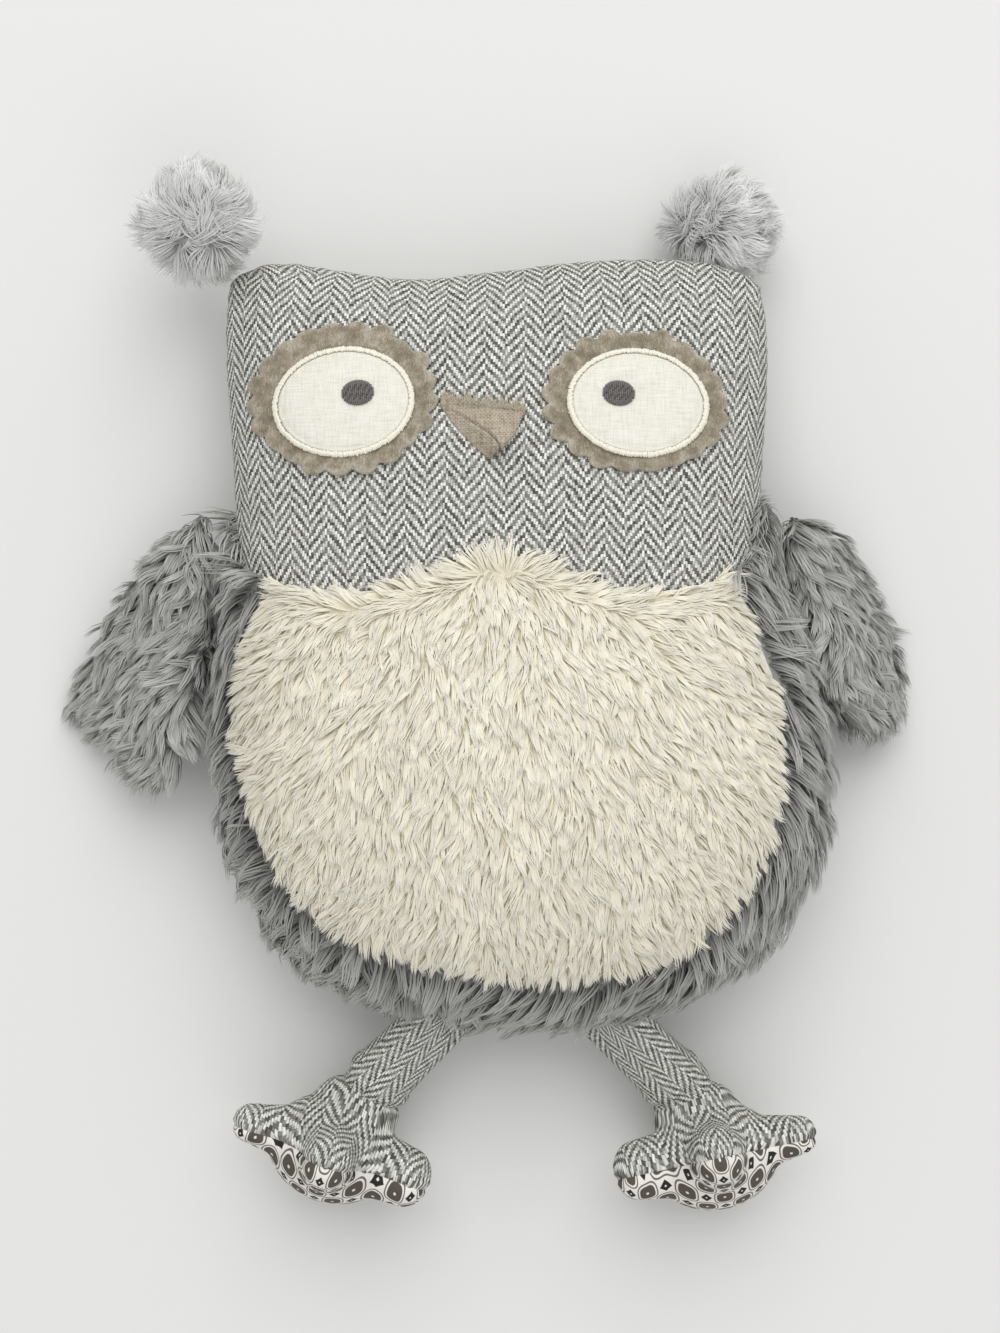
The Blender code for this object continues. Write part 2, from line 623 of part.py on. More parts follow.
def build_wing(side, wing, body, body_form):
    # Two pile panels, over and under, that swell between a thin root and a rounded edge
    top, end = shared(wing["root_top_shares"]), shared(wing["root_end_shares"])
    along = (end - top).normalized()
    out = Vector((-along.y, along.x)) * wing["side"]
    shares = [Vector((s * (end - top).length, t * wing["reach"])) for s, t in wing["outline_shares"]]
    middle = sum(shares, Vector((0, 0))) / len(shares)

    def outline(turn):
        return spline(shares, turn * len(shares) / 4) - middle

    panels = []
    for sign, name in ((1, "wing_top_panel_"), (-1, "wing_under_panel_")):
        def dome(flat, rise):
            return Vector((*(flat + middle), sign * (CLEARANCE + rise * WING_HALF_THICKNESS)))

        def base(flat, rise):
            return Vector((*(flat + middle), sign * CLEARANCE))

        shape = joined(puff(WING_CELLS, outline, dome, WING_SWELL_SHARE), puff(WING_CELLS, outline, base))
        panel = place(name + side, to_mesh(outward(shape), name), "grey_pile")
        subdivide(panel)
        panels.append(panel)
    droop = droop_to_floor([p for panel in panels for p in evaluated(panel)[0]])
    probes = [Vector((*top.lerp(end, k / WING_PROBES), seam_height)) for k in range(WING_PROBES + 1)]
    gap = min(body.find_nearest(probe)[3] for probe in probes) - WING_ROOT_GAP
    root = Vector((*(top - out * gap), seam_height))
    s_axis = Vector((*along, 0))
    t_axis = Vector((*(out * math.cos(droop)), -math.sin(droop)))
    normal = Vector((*(out * math.sin(droop)), math.cos(droop)))
    for panel in panels:
        panel.matrix_world = Matrix.Translation(root) @ Matrix((s_axis, t_axis, normal)).transposed().to_4x4()
    cut_for_swing(panels, body_form, root, s_axis * wing["side"], WING_TURNS)
    hang("wing_root_" + side, root, panels)
    print("wing", side, "root", [round(c, 5) for c in root], "along", [round(c, 4) for c in s_axis])
    print("droop", round(math.degrees(droop), 2))


def foot_outline(turn):
    half = [(u * FOOT_HALF_WIDTH, v * FOOT_TOE_LENGTH) for u, v in FOOT_SHARES]
    whole = half + [(-u, v) for u, v in reversed(half[1:-1])]
    # the square's top left corner falls between the middle and the left toe
    return spline(whole, -(turn / 4 + FOOT_CORNER_SHARE) * len(whole))


def half_foot(rise, lift):
    def dome(flat, height):
        return Vector((*flat, lift + rise * height))

    return puff(FOOT_CELLS, foot_outline, dome, FOOT_SWELL_SHARE)


def leg_form(sections, frame, mouth):
    # A tube from a flat hip to a round ankle, closed there unless it has a mouth
    shape = bmesh.new()
    bmesh.ops.create_circle(shape, cap_ends=True, segments=ROUND_CELLS, radius=1)
    edge = list(shape.edges)
    for _ in sections[1:]:
        made = bmesh.ops.extrude_edge_only(shape, edges=edge)["geom"]
        verts = [v for v in made if isinstance(v, bmesh.types.BMVert)]
        bmesh.ops.translate(shape, verts=verts, vec=(0, 0, 1))
        edge = [e for e in made if isinstance(e, bmesh.types.BMEdge) and all(v in verts for v in e.verts)]
    if not mouth:
        bmesh.ops.holes_fill(shape, edges=edge, sides=0)
    for v in shape.verts:
        down, half_width, half_depth = sections[round(v.co.z)]
        v.co = frame @ Vector((v.co.x * half_width, v.co.y * half_depth, down))
    return outward(shape)


def build_leg(side, leg, body):
    below = CUSHION_CENTRE[1] - CUSHION_HALF_LENGTH - PILE_WALL - OVERRUN
    levels = [seam_height + PILE_WALL * share for share in HIP_PROBE_SHARES]
    hip_x = shared((leg["hip_share"], 0)).x
    hits = [body.ray_cast(Vector((hip_x, below, level)), Vector((0, 1, 0)))[0] for level in levels]
    hip = Vector((hip_x, min(hit.y for hit in hits if hit) - HIP_GAP, seam_height))
    foot_at = hip.xy + Vector(leg["foot_reach"])
    lean, back, roll = (math.radians(leg[k]) for k in ("outward", "headward", "roll"))
    toes = Vector((math.sin(lean), math.sin(back), math.cos(lean) * math.cos(back))).normalized()
    across = Vector((math.cos(roll), math.sin(roll), 0))
    across = (across - toes * across.dot(toes)).normalized()
    top = toes.cross(across)
    frame = Matrix((across, toes, top)).transposed().to_4x4()
    upper_sheet = half_foot(FOOT_TOP_RISE, CLEARANCE)
    under_sheet = flip(half_foot(-FOOT_SOLE_DROP, -CLEARANCE))
    inner = joined(half_foot(FOOT_TOP_RISE, 0), flip(half_foot(-FOOT_SOLE_DROP, 0)))
    upper = place("foot_top_" + side, to_mesh(upper_sheet, "foot_top"), "tweed")
    under = place("foot_sole_" + side, to_mesh(under_sheet, "foot_sole"), "print")
    stuffing = place("foot_stuffing_" + side, to_mesh(inner, "foot_stuffing"), "stuffing")
    foot = (upper, under, stuffing)
    for piece in foot:
        piece.matrix_world = Matrix.Translation((*foot_at, 0)) @ frame
        subdivide(piece)
    wall(upper, FOOT_WALL, 1)
    wall(under, FOOT_WALL, 1)
    displace(stuffing, -STUFFING_GAP)
    lowest = min(p.z for piece in (upper, under) for p in evaluated(piece)[0])
    centre = Vector((*foot_at, CLEARANCE - lowest))
    for piece in foot:
        piece.matrix_world = Matrix.Translation(centre) @ frame
    ankle_rise = FOOT_TOP_RISE + LEG_ANKLE_RADIUS - ANKLE_SINK
    ankle = centre + top * ankle_rise + toes * LEG_ANKLE_RADIUS * ANKLE_TOEWARD_SHARE
    along = (ankle - hip).normalized()
    wide = Vector((1, 0, 0))
    wide = (wide - along * wide.dot(along)).normalized()
    leg_frame = Matrix((wide, along.cross(wide), along)).transposed()
    length = (ankle - hip).length
    swell = LEG_RADIUS - LEG_TOP_HALF_THICKNESS
    sections = [
        (down * length, LEG_RADIUS * width, LEG_TOP_HALF_THICKNESS + swell * depth)
        for down, width, depth in LEG_SECTION_SHARES
    ]
    for down, out in ANKLE_END_SHARES:
        sections.append((length + LEG_ANKLE_RADIUS * down, LEG_ANKLE_RADIUS * out, LEG_ANKLE_RADIUS * out))
    skin = place("leg_skin_" + side, to_mesh(leg_form(sections, leg_frame, True), "skin"), "tweed")
    fill = place("leg_stuffing_" + side, to_mesh(leg_form(sections, leg_frame, False), "fill"), "stuffing")
    for piece in (skin, fill):
        piece.location = hip
        subdivide(piece)
    wall(skin, LEG_WALL, -1)
    displace(fill, -LEG_WALL - STUFFING_GAP)
    flare = rod(2 * ROUND_CELLS, LEG_ANKLE_RADIUS, LEG_ANKLE_RADIUS + ANKLE_FLARE_SHARE * OVERRUN, OVERRUN)
    cone = place("ankle_cone_" + side, to_mesh(flare, "cone"), None, hidden=True)
    cone.matrix_world = aim(-along, ankle - along * OVERRUN / 2)
    socket = place("ankle_ball_" + side, to_mesh(ball(ANKLE_SOCKET_RADIUS), "ball"), None, hidden=True)
    socket.matrix_world = aim(-along, ankle)
    for piece in (upper, stuffing):
        cut(piece, socket)
        cut(piece, cone)
    hip_joint = hang("hip_joint_" + side, hip, [skin, fill])
    hang("ankle_joint_" + side, ankle, foot, hip_joint)
    print("hip", side, [round(c, 5) for c in hip], "ankle", [round(c, 5) for c in ankle])


clear_scene()
owl = new_collection("plush_owl")
cutters = new_collection("cutters")
seam_height = find_seam_height()
print("seam height", seam_height)
build_cushion()
front_head = tree_of(bpy.data.objects["head_front_panel"])
whole_head = tree_of(bpy.data.objects["head_front_panel"], bpy.data.objects["head_back_panel"])
whole_body = tree_of(bpy.data.objects["body_front_panel"], bpy.data.objects["body_back_panel"])
for which, numbers in EYES.items():
    build_eye(which, numbers, front_head)
build_beak(front_head)
head_form = cushion_form("head_form_cutter", None, WOVEN_WALL + 3 * CLEARANCE)
for which in POMPOM_CENTRE_SHARES:
    build_pompom(which, whole_head, head_form)
body_form = cushion_form("body_form_cutter", None, PILE_WALL + BODY_FORM_GAP)
for which, numbers in WINGS.items():
    build_wing(which, numbers, whole_body, body_form)
for which, numbers in LEGS.items():
    build_leg(which, numbers, whole_body)
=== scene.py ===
import json
import math

import bmesh
import bpy
import numpy as np
from mathutils import Matrix, Vector
from mathutils.bvhtree import BVHTree
from mathutils.kdtree import KDTree


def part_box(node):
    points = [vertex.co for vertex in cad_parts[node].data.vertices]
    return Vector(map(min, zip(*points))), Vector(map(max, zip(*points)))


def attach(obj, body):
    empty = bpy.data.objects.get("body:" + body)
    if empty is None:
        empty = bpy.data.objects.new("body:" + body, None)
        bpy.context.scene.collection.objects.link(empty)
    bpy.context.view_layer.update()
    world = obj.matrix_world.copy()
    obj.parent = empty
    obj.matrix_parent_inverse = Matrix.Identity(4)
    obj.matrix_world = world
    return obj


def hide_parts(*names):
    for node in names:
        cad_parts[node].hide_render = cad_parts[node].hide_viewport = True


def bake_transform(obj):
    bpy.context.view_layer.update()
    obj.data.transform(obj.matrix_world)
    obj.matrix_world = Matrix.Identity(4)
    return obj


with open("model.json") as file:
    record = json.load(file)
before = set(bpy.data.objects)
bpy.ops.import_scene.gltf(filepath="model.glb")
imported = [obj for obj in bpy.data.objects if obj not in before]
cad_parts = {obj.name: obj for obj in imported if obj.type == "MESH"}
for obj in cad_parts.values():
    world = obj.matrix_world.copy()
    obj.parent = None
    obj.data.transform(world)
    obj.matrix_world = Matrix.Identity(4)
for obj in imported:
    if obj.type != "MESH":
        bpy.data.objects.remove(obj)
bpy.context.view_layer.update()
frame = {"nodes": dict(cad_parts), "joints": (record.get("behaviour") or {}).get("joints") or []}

scene = bpy.context.scene
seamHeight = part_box("head_front_panel")[0][2]


# Helpers for colours, nodes, selection, modifiers and points
def hexToLinear(colour):
    values = [int(colour[i:i + 2], 16) / 255 for i in (1, 3, 5)]
    return (*(v / 12.92 if v <= 0.04045 else ((v + 0.055) / 1.055) ** 2.4 for v in values), 1)


def addNode(tree, kind, links=None, stops=(), **settings):
    # Any node: what each socket is linked or set to, a colour ramp's stops, and its settings
    node = tree.nodes.new(kind)
    for setting, value in settings.items():
        setattr(node, setting, value)
    if stops:
        elements = node.color_ramp.elements
        while len(elements) < len(stops):
            elements.new(1)
        for element, (place, colour) in zip(elements, stops):
            element.position = place
            element.color = hexToLinear(colour)
    for socket, source in (links or {}).items():
        if isinstance(source, bpy.types.Node):
            source = source.outputs[0]
        if isinstance(source, bpy.types.NodeSocket):
            tree.links.new(source, node.inputs[socket])
        else:
            node.inputs[socket].default_value = source
    return node


def newMaterial(name, values):
    material = bpy.data.materials.new(name)
    material.use_nodes = True
    tree = material.node_tree
    shader = next(n for n in tree.nodes if n.type == "BSDF_PRINCIPLED")
    for socket, value in values.items():
        shader.inputs[socket].default_value = value
    return material, tree, shader


def paint(tree, shader, colour, height, strength, distance):
    # The colour, and relief as deep as the distance
    bump = addNode(tree, "ShaderNodeBump", {"Height": height, "Strength": strength, "Distance": distance})
    tree.links.new(colour.outputs[0], shader.inputs["Base Color"])
    tree.links.new(bump.outputs[0], shader.inputs["Normal"])


def wander(tree, place, scale, reach):
    # Threads that don't run quite straight: the place, moved a little this way and that
    noise = addNode(tree, "ShaderNodeTexNoise", {"Vector": place, "Scale": scale, "Detail": 2.0})
    centred = addNode(
        tree, "ShaderNodeVectorMath", {0: noise.outputs["Color"], 1: (0.5, 0.5, 0.5)}, operation="SUBTRACT")
    strayed = addNode(tree, "ShaderNodeVectorMath", {0: centred, "Scale": reach}, operation="SCALE")
    return addNode(tree, "ShaderNodeVectorMath", {0: place, 1: strayed}, operation="ADD")


def pick(*pieces):
    bpy.ops.object.select_all(action="DESELECT")
    for piece in pieces:
        piece.select_set(True)
        bpy.context.view_layer.objects.active = piece


def addMesh(name, vertices, faces, smooth=True):
    mesh = bpy.data.meshes.new(name)
    mesh.from_pydata([tuple(v) for v in vertices], [], faces)
    mesh.update()
    piece = bpy.data.objects.new(name, mesh)
    scene.collection.objects.link(piece)
    mesh.polygons.foreach_set("use_smooth", [smooth] * len(mesh.polygons))
    return piece


def tidyNormals(piece):
    pick(piece)
    bpy.ops.object.mode_set(mode="EDIT")
    bpy.ops.mesh.select_all(action="SELECT")
    bpy.ops.mesh.remove_doubles(threshold=0.00002)
    bpy.ops.mesh.normals_make_consistent(inside=False)
    bpy.ops.object.mode_set(mode="OBJECT")


def modify(piece, kind, **settings):
    pick(piece)
    modifier = piece.modifiers.new(kind.title(), kind)
    for setting, value in settings.items():
        setattr(modifier, setting, value)
    bpy.ops.object.modifier_apply(modifier=modifier.name)


def startFrom(name, *nodes):
    # A piece that starts as CAD solids, welded, because theirs are loose triangles
    copies = []
    for node in nodes:
        copies.append(bpy.data.objects.new(name, frame["nodes"][node].data.copy()))
        scene.collection.objects.link(copies[-1])
    pick(*copies)
    if len(copies) > 1:
        bpy.ops.object.join()
    piece = bpy.context.view_layer.objects.active
    piece.name = name
    piece.data.materials.clear()
    tidyNormals(piece)
    return piece


def copyOf(piece, name):
    copy = piece.copy()
    copy.data = piece.data.copy()
    copy.name = copy.data.name = name
    scene.collection.objects.link(copy)
    return copy


def jointAt(name):
    return Vector(next(j for j in frame["joints"] if j["name"] == name)["pos_m"])


def pointsOf(piece):
    points = np.empty(len(piece.data.vertices) * 3)
    piece.data.vertices.foreach_get("co", points)
    return points.reshape(-1, 3)


def normalsOf(piece):
    normals = np.empty(len(piece.data.vertices) * 3)
    piece.data.vertices.foreach_get("normal", normals)
    return normals.reshape(-1, 3)


def setPoints(piece, points):
    piece.data.vertices.foreach_set("co", np.asarray(points, float).ravel())
    piece.data.update()


def unit(vectors):
    return vectors / np.maximum(np.linalg.norm(vectors, axis=1, keepdims=True), 1e-9)


def plump(piece, pad):
    # Stuffing presses the cover outward: a short cloth run under pressure, capped
    rest = pointsOf(piece)
    cloth = piece.modifiers.new("Cloth", "CLOTH")
    cloth.settings.use_pressure = True
    cloth.settings.uniform_pressure_force = pad["pressure"]
    cloth.settings.effector_weights.gravity = 0
    cloth.settings.quality = 4
    for step in range(1, pad["frames"] + 1):
        scene.frame_set(step)
    shaped = piece.evaluated_get(bpy.context.evaluated_depsgraph_get()).to_mesh()
    swollen = np.empty(len(rest) * 3)
    shaped.vertices.foreach_get("co", swollen)
    move = swollen.reshape(-1, 3) - rest
    far = np.linalg.norm(move, axis=1, keepdims=True)
    move *= np.minimum(1, pad["maxMove"] / np.maximum(far, 1e-9))
    piece.modifiers.remove(cloth)
    scene.frame_set(1)
    setPoints(piece, rest + move)


def dress(piece, material, body):
    piece.data.materials.clear()
    piece.data.materials.append(material)
    if body:
        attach(piece, body)
    return piece


def treeOf(piece):
    mesh = piece.data
    return BVHTree.FromPolygons([v.co for v in mesh.vertices], [p.vertices for p in mesh.polygons])


# Camera straight above, as the photograph was taken, and soft studio light
print("camera, floor and light")
studio = {
    "cameraAt": (-0.0018, 0.0122, 0.885), "viewHeight": 0.484, "viewDistance": 0.851,
    "floor": "#E3E3E1", "floorSize": 6.0, "skyStrength": 0.56, "aimAt": (0, 0, 0.03),
    "keyAt": (0.12, 1.50, 2.05), "keySize": 2.4, "keyPower": 41.0,
    "fillAt": (0.35, -1.20, 2.20), "fillShare": 0.26,
}
cameraData = bpy.data.cameras.new("camera")
cameraData.sensor_fit = "VERTICAL"
cameraData.angle = 2 * math.atan(studio["viewHeight"] / 2 / studio["viewDistance"])
cameraData.clip_start = 0.01
camera = bpy.data.objects.new("camera", cameraData)
camera.location = studio["cameraAt"]
scene.collection.objects.link(camera)
scene.camera = camera

scene.view_settings.view_transform = "Standard"
world = bpy.data.worlds.new("studio")
world.use_nodes = True
sky = next(n for n in world.node_tree.nodes if n.type == "BACKGROUND")
sky.inputs["Color"].default_value = (1, 1, 1, 1)
sky.inputs["Strength"].default_value = studio["skyStrength"]
scene.world = world
for name, place, power in (
    ("key light", studio["keyAt"], studio["keyPower"]),
    ("fill light", studio["fillAt"], studio["keyPower"] * studio["fillShare"]),
):
    lamp = bpy.data.lights.new(name, "AREA")
    lamp.size = studio["keySize"]
    lamp.energy = power
    light = bpy.data.objects.new(name, lamp)
    light.location = place
    light.rotation_euler = (Vector(place) - Vector(studio["aimAt"])).to_track_quat("Z", "Y").to_euler()
    scene.collection.objects.link(light)

pick()
bpy.ops.mesh.primitive_plane_add(size=studio["floorSize"])
floor = bpy.context.object
floor.name = "floor"
floorMaterial, tree, shader = newMaterial("matt paper floor", {"Roughness": 0.9})
grain = addNode(tree, "ShaderNodeTexNoise", {"Scale": 3.0, "Detail": 2.0})
tone = addNode(tree, "ShaderNodeMapRange", {"Value": grain, "To Min": 0.985, "To Max": 1.0})
plain = addNode(tree, "ShaderNodeRGB")
plain.outputs[0].default_value = hexToLinear(studio["floor"])
shade = addNode(tree, "ShaderNodeVectorMath", {0: plain, "Scale": tone}, operation="SCALE")
tree.links.new(shade.outputs[0], shader.inputs["Base Color"])
floor.data.materials.append(floorMaterial)


# Cloths
print("cloths")
tweed = {
    # Wool herringbone: pale warp over dark weft, two up and two down, turning every eight yarns.
    # The yarns are 0.86 and 1.05 mm apart, as the photograph shows them.
    # Hand woven yarns wander by half a millimetre.
    "yarnAcross": 0.00086, "yarnAlong": 0.00105, "turnEvery": 8, "strayScale": 160.0, "stray": 0.0016,
    "paleYarn": "#C8C7C0", "palerYarn": "#FFFFFB", "darkYarn": "#A3A39D", "darkerYarn": "#53534E",
}


def makeTweed():
    material, tree, shader = newMaterial("herringbone wool", {"Roughness": 0.88, "Specular IOR Level": 0.25})
    cloth = addNode(tree, "ShaderNodeUVMap", uv_map="weave")
    moved = wander(tree, cloth, tweed["strayScale"], tweed["stray"])
    yarnsAMetre = (1 / tweed["yarnAcross"], 1 / tweed["yarnAlong"], 1)
    yarns = addNode(tree, "ShaderNodeVectorMath", {0: moved, 1: yarnsAMetre}, operation="MULTIPLY")
    counted = addNode(tree, "ShaderNodeVectorMath", {0: yarns}, operation="FLOOR")
    inYarn = addNode(tree, "ShaderNodeVectorMath", {0: yarns}, operation="FRACTION")
    warp = addNode(tree, "ShaderNodeSeparateXYZ", {0: counted})
    local = addNode(tree, "ShaderNodeSeparateXYZ", {0: inYarn})
    # The zigzag: yarn number counted up and back down
    repeat = 2.0 * tweed["turnEvery"]
    turn = addNode(tree, "ShaderNodeMath", {0: warp.outputs["X"], 1: repeat}, operation="FLOORED_MODULO")
    back = addNode(tree, "ShaderNodeMath", {0: repeat - 1, 1: turn}, operation="SUBTRACT")
    zigzag = addNode(tree, "ShaderNodeMath", {0: turn, 1: back}, operation="MINIMUM")
    step = addNode(tree, "ShaderNodeMath", {0: warp.outputs["Y"], 1: zigzag}, operation="SUBTRACT")
    # The twill breaks where it turns: each column starts two yarns on from its neighbour
    share = addNode(tree, "ShaderNodeMath", {0: warp.outputs["X"], 1: tweed["turnEvery"]}, operation="DIVIDE")
    column = addNode(tree, "ShaderNodeMath", {0: share}, operation="FLOOR")
    broken = addNode(tree, "ShaderNodeMath", {0: column, 1: 2.0, 2: step}, operation="MULTIPLY_ADD")
    place = addNode(tree, "ShaderNodeMath", {0: broken, 1: 4.0}, operation="FLOORED_MODULO")
    warpUp = addNode(tree, "ShaderNodeMath", {0: place, 1: 2.0}, operation="LESS_THAN")
    # Each yarn is round, and a float bulges between the yarns that hold it
    roundX = addNode(tree, "ShaderNodeMath", {0: local.outputs["X"], 1: math.pi}, operation="MULTIPLY")
    roundY = addNode(tree, "ShaderNodeMath", {0: local.outputs["Y"], 1: math.pi}, operation="MULTIPLY")
    humpX = addNode(tree, "ShaderNodeMath", {0: roundX}, operation="SINE")
    humpY = addNode(tree, "ShaderNodeMath", {0: roundY}, operation="SINE")
    hump = addNode(tree, "ShaderNodeMix", {"Factor": warpUp, "A": humpY, "B": humpX})
    # No two yarns are dyed quite alike
    dye = addNode(tree, "ShaderNodeTexWhiteNoise", {"Vector": counted}, noise_dimensions="2D")
    fuzz = addNode(tree, "ShaderNodeTexNoise", {"Vector": cloth, "Scale": 2600.0, "Detail": 3.0})
    mixed = addNode(tree, "ShaderNodeMath", {0: dye.outputs["Value"], 1: fuzz}, operation="MULTIPLY")
    yarnColours = []
    for low, high in (("darkerYarn", "darkYarn"), ("paleYarn", "palerYarn")):
        stops = ((0.05, tweed[low]), (0.55, tweed[high]))
        yarnColours.append(addNode(tree, "ShaderNodeValToRGB", {"Fac": mixed}, stops))
    both = addNode(
        tree, "ShaderNodeMix", {"Factor": warpUp, "A": yarnColours[0], "B": yarnColours[1]}, data_type="RGBA")
    # Painted shade: each yarn's colour darkens towards its edges, in the gaps between yarns
    yarnGapShade = addNode(tree, "ShaderNodeMapRange", {"Value": hump, "To Min": 0.74, "To Max": 1.0})
    shaded = addNode(
        tree, "ShaderNodeVectorMath", {0: both.outputs["Result"], "Scale": yarnGapShade}, operation="SCALE")
    paint(tree, shader, shaded, hump, 0.55, 0.0005)
    return material


linen = {
    # Threads stray by up to half a millimetre, and slubs lie along the threads of both ways
    "strayScale": 220.0, "stray": 0.001, "slubs": ((2200, 160, 300), (160, 2200, 300)),
}


def makeWeave(name, across, colours, roughness, bumpDepth):
    # Plain weave on the object's own millimetres, over and under in turn, with slubs
    material, tree, shader = newMaterial(name, {"Roughness": roughness, "Specular IOR Level": 0.3})
    spot = addNode(tree, "ShaderNodeTexCoord").outputs["Object"]
    moved = wander(tree, spot, linen["strayScale"], linen["stray"])
    yarns = addNode(tree, "ShaderNodeVectorMath", {0: moved, "Scale": 1 / across}, operation="SCALE")
    parts = addNode(tree, "ShaderNodeSeparateXYZ", {0: yarns})
    humps = []
    for axis in "XY":
        angle = addNode(tree, "ShaderNodeMath", {0: parts.outputs[axis], 1: math.pi}, operation="MULTIPLY")
        humps.append(addNode(tree, "ShaderNodeMath", {0: angle}, operation="SINE"))
    over = addNode(tree, "ShaderNodeMath", {0: humps[0], 1: humps[1]}, operation="MULTIPLY")
    # Slubs: some yarns are thicker and paler for a few millimetres
    slubs = []
    for scale in linen["slubs"]:
        stretched = addNode(tree, "ShaderNodeMapping", {"Vector": spot, "Scale": scale})
        slubs.append(addNode(tree, "ShaderNodeTexNoise", {"Vector": stretched, "Scale": 1.0, "Detail": 2.0}))
    thicker = addNode(tree, "ShaderNodeMath", {0: slubs[0], 1: slubs[1]}, operation="ADD")
    mixed = addNode(tree, "ShaderNodeMath", {0: over, 1: 0.16, 2: thicker}, operation="MULTIPLY_ADD")
    level = addNode(tree, "ShaderNodeMapRange", {"Value": mixed, "From Min": 0.62, "From Max": 1.38})
    ramp = addNode(tree, "ShaderNodeValToRGB", {"Fac": level}, tuple(zip((0.0, 0.5, 1.0), colours)))
    paint(tree, shader, ramp, mixed, 0.5, bumpDepth)
    return material


def makeFelt():
    # Wool felt: no threads, short fibres pressed every way, and a painted highlight that makes it paler towards
    # its cut edge, where the raised edge catches the light
    material, tree, shader = newMaterial(
        "wool felt", {"Roughness": 0.95, "Specular IOR Level": 0.2, "Sheen Weight": 0.2})
    spot = addNode(tree, "ShaderNodeTexCoord").outputs["Object"]
    cloud = addNode(tree, "ShaderNodeTexNoise", {"Vector": spot, "Scale": 220.0, "Detail": 3.0})
    stretched = addNode(tree, "ShaderNodeMapping", {
        "Vector": spot, "Rotation": (0, 0, 0.7), "Scale": (2600, 700, 1500)})
    fibre = addNode(tree, "ShaderNodeTexNoise", {"Vector": stretched, "Scale": 1.0, "Distortion": 1.6})
    both = addNode(tree, "ShaderNodeMath", {0: cloud, 1: fibre}, operation="ADD")
    # Painted highlight: the edge attribute makes the felt paler towards its raised cut edge
    edgeLight = addNode(tree, "ShaderNodeAttribute", attribute_name="edge").outputs["Fac"]
    grainAndEdgeLight = addNode(tree, "ShaderNodeMath", {0: edgeLight, 1: 0.28, 2: both}, operation="MULTIPLY_ADD")
    level = addNode(tree, "ShaderNodeMapRange", {"Value": grainAndEdgeLight, "From Min": 0.62, "From Max": 1.45})
    stops = ((0.0, "#6A6051"), (0.42, "#8E8471"), (1.0, "#CBC3B4"))
    ramp = addNode(tree, "ShaderNodeValToRGB", {"Fac": level}, stops)
    paint(tree, shader, ramp, both, 0.6, 0.0006)
    return material


def makeThread(name, colours, roughness):
    # Lustrous embroidery thread: fine twist along the object's own millimetres
    material, tree, shader = newMaterial(name, {"Roughness": roughness, "Sheen Weight": 0.15})
    spot = addNode(tree, "ShaderNodeTexCoord").outputs["Object"]
    twist = addNode(tree, "ShaderNodeTexNoise", {"Vector": spot, "Scale": 1500.0})
    ramp = addNode(tree, "ShaderNodeValToRGB", {"Fac": twist}, tuple(zip((0.25, 0.7), colours)))
    paint(tree, shader, ramp, twist, 0.3, 0.0002)
    return material


printed = {
    # Printed cotton: rounded dark fields and small black diamonds in turn, 6.7 mm apart, on white,
    # and each field has a thin grey ring round it
    "apart": 0.0067, "white": "#ECE9E2", "brown": "#554C45", "grey": "#6E665F", "black": "#1D1B1A",
}


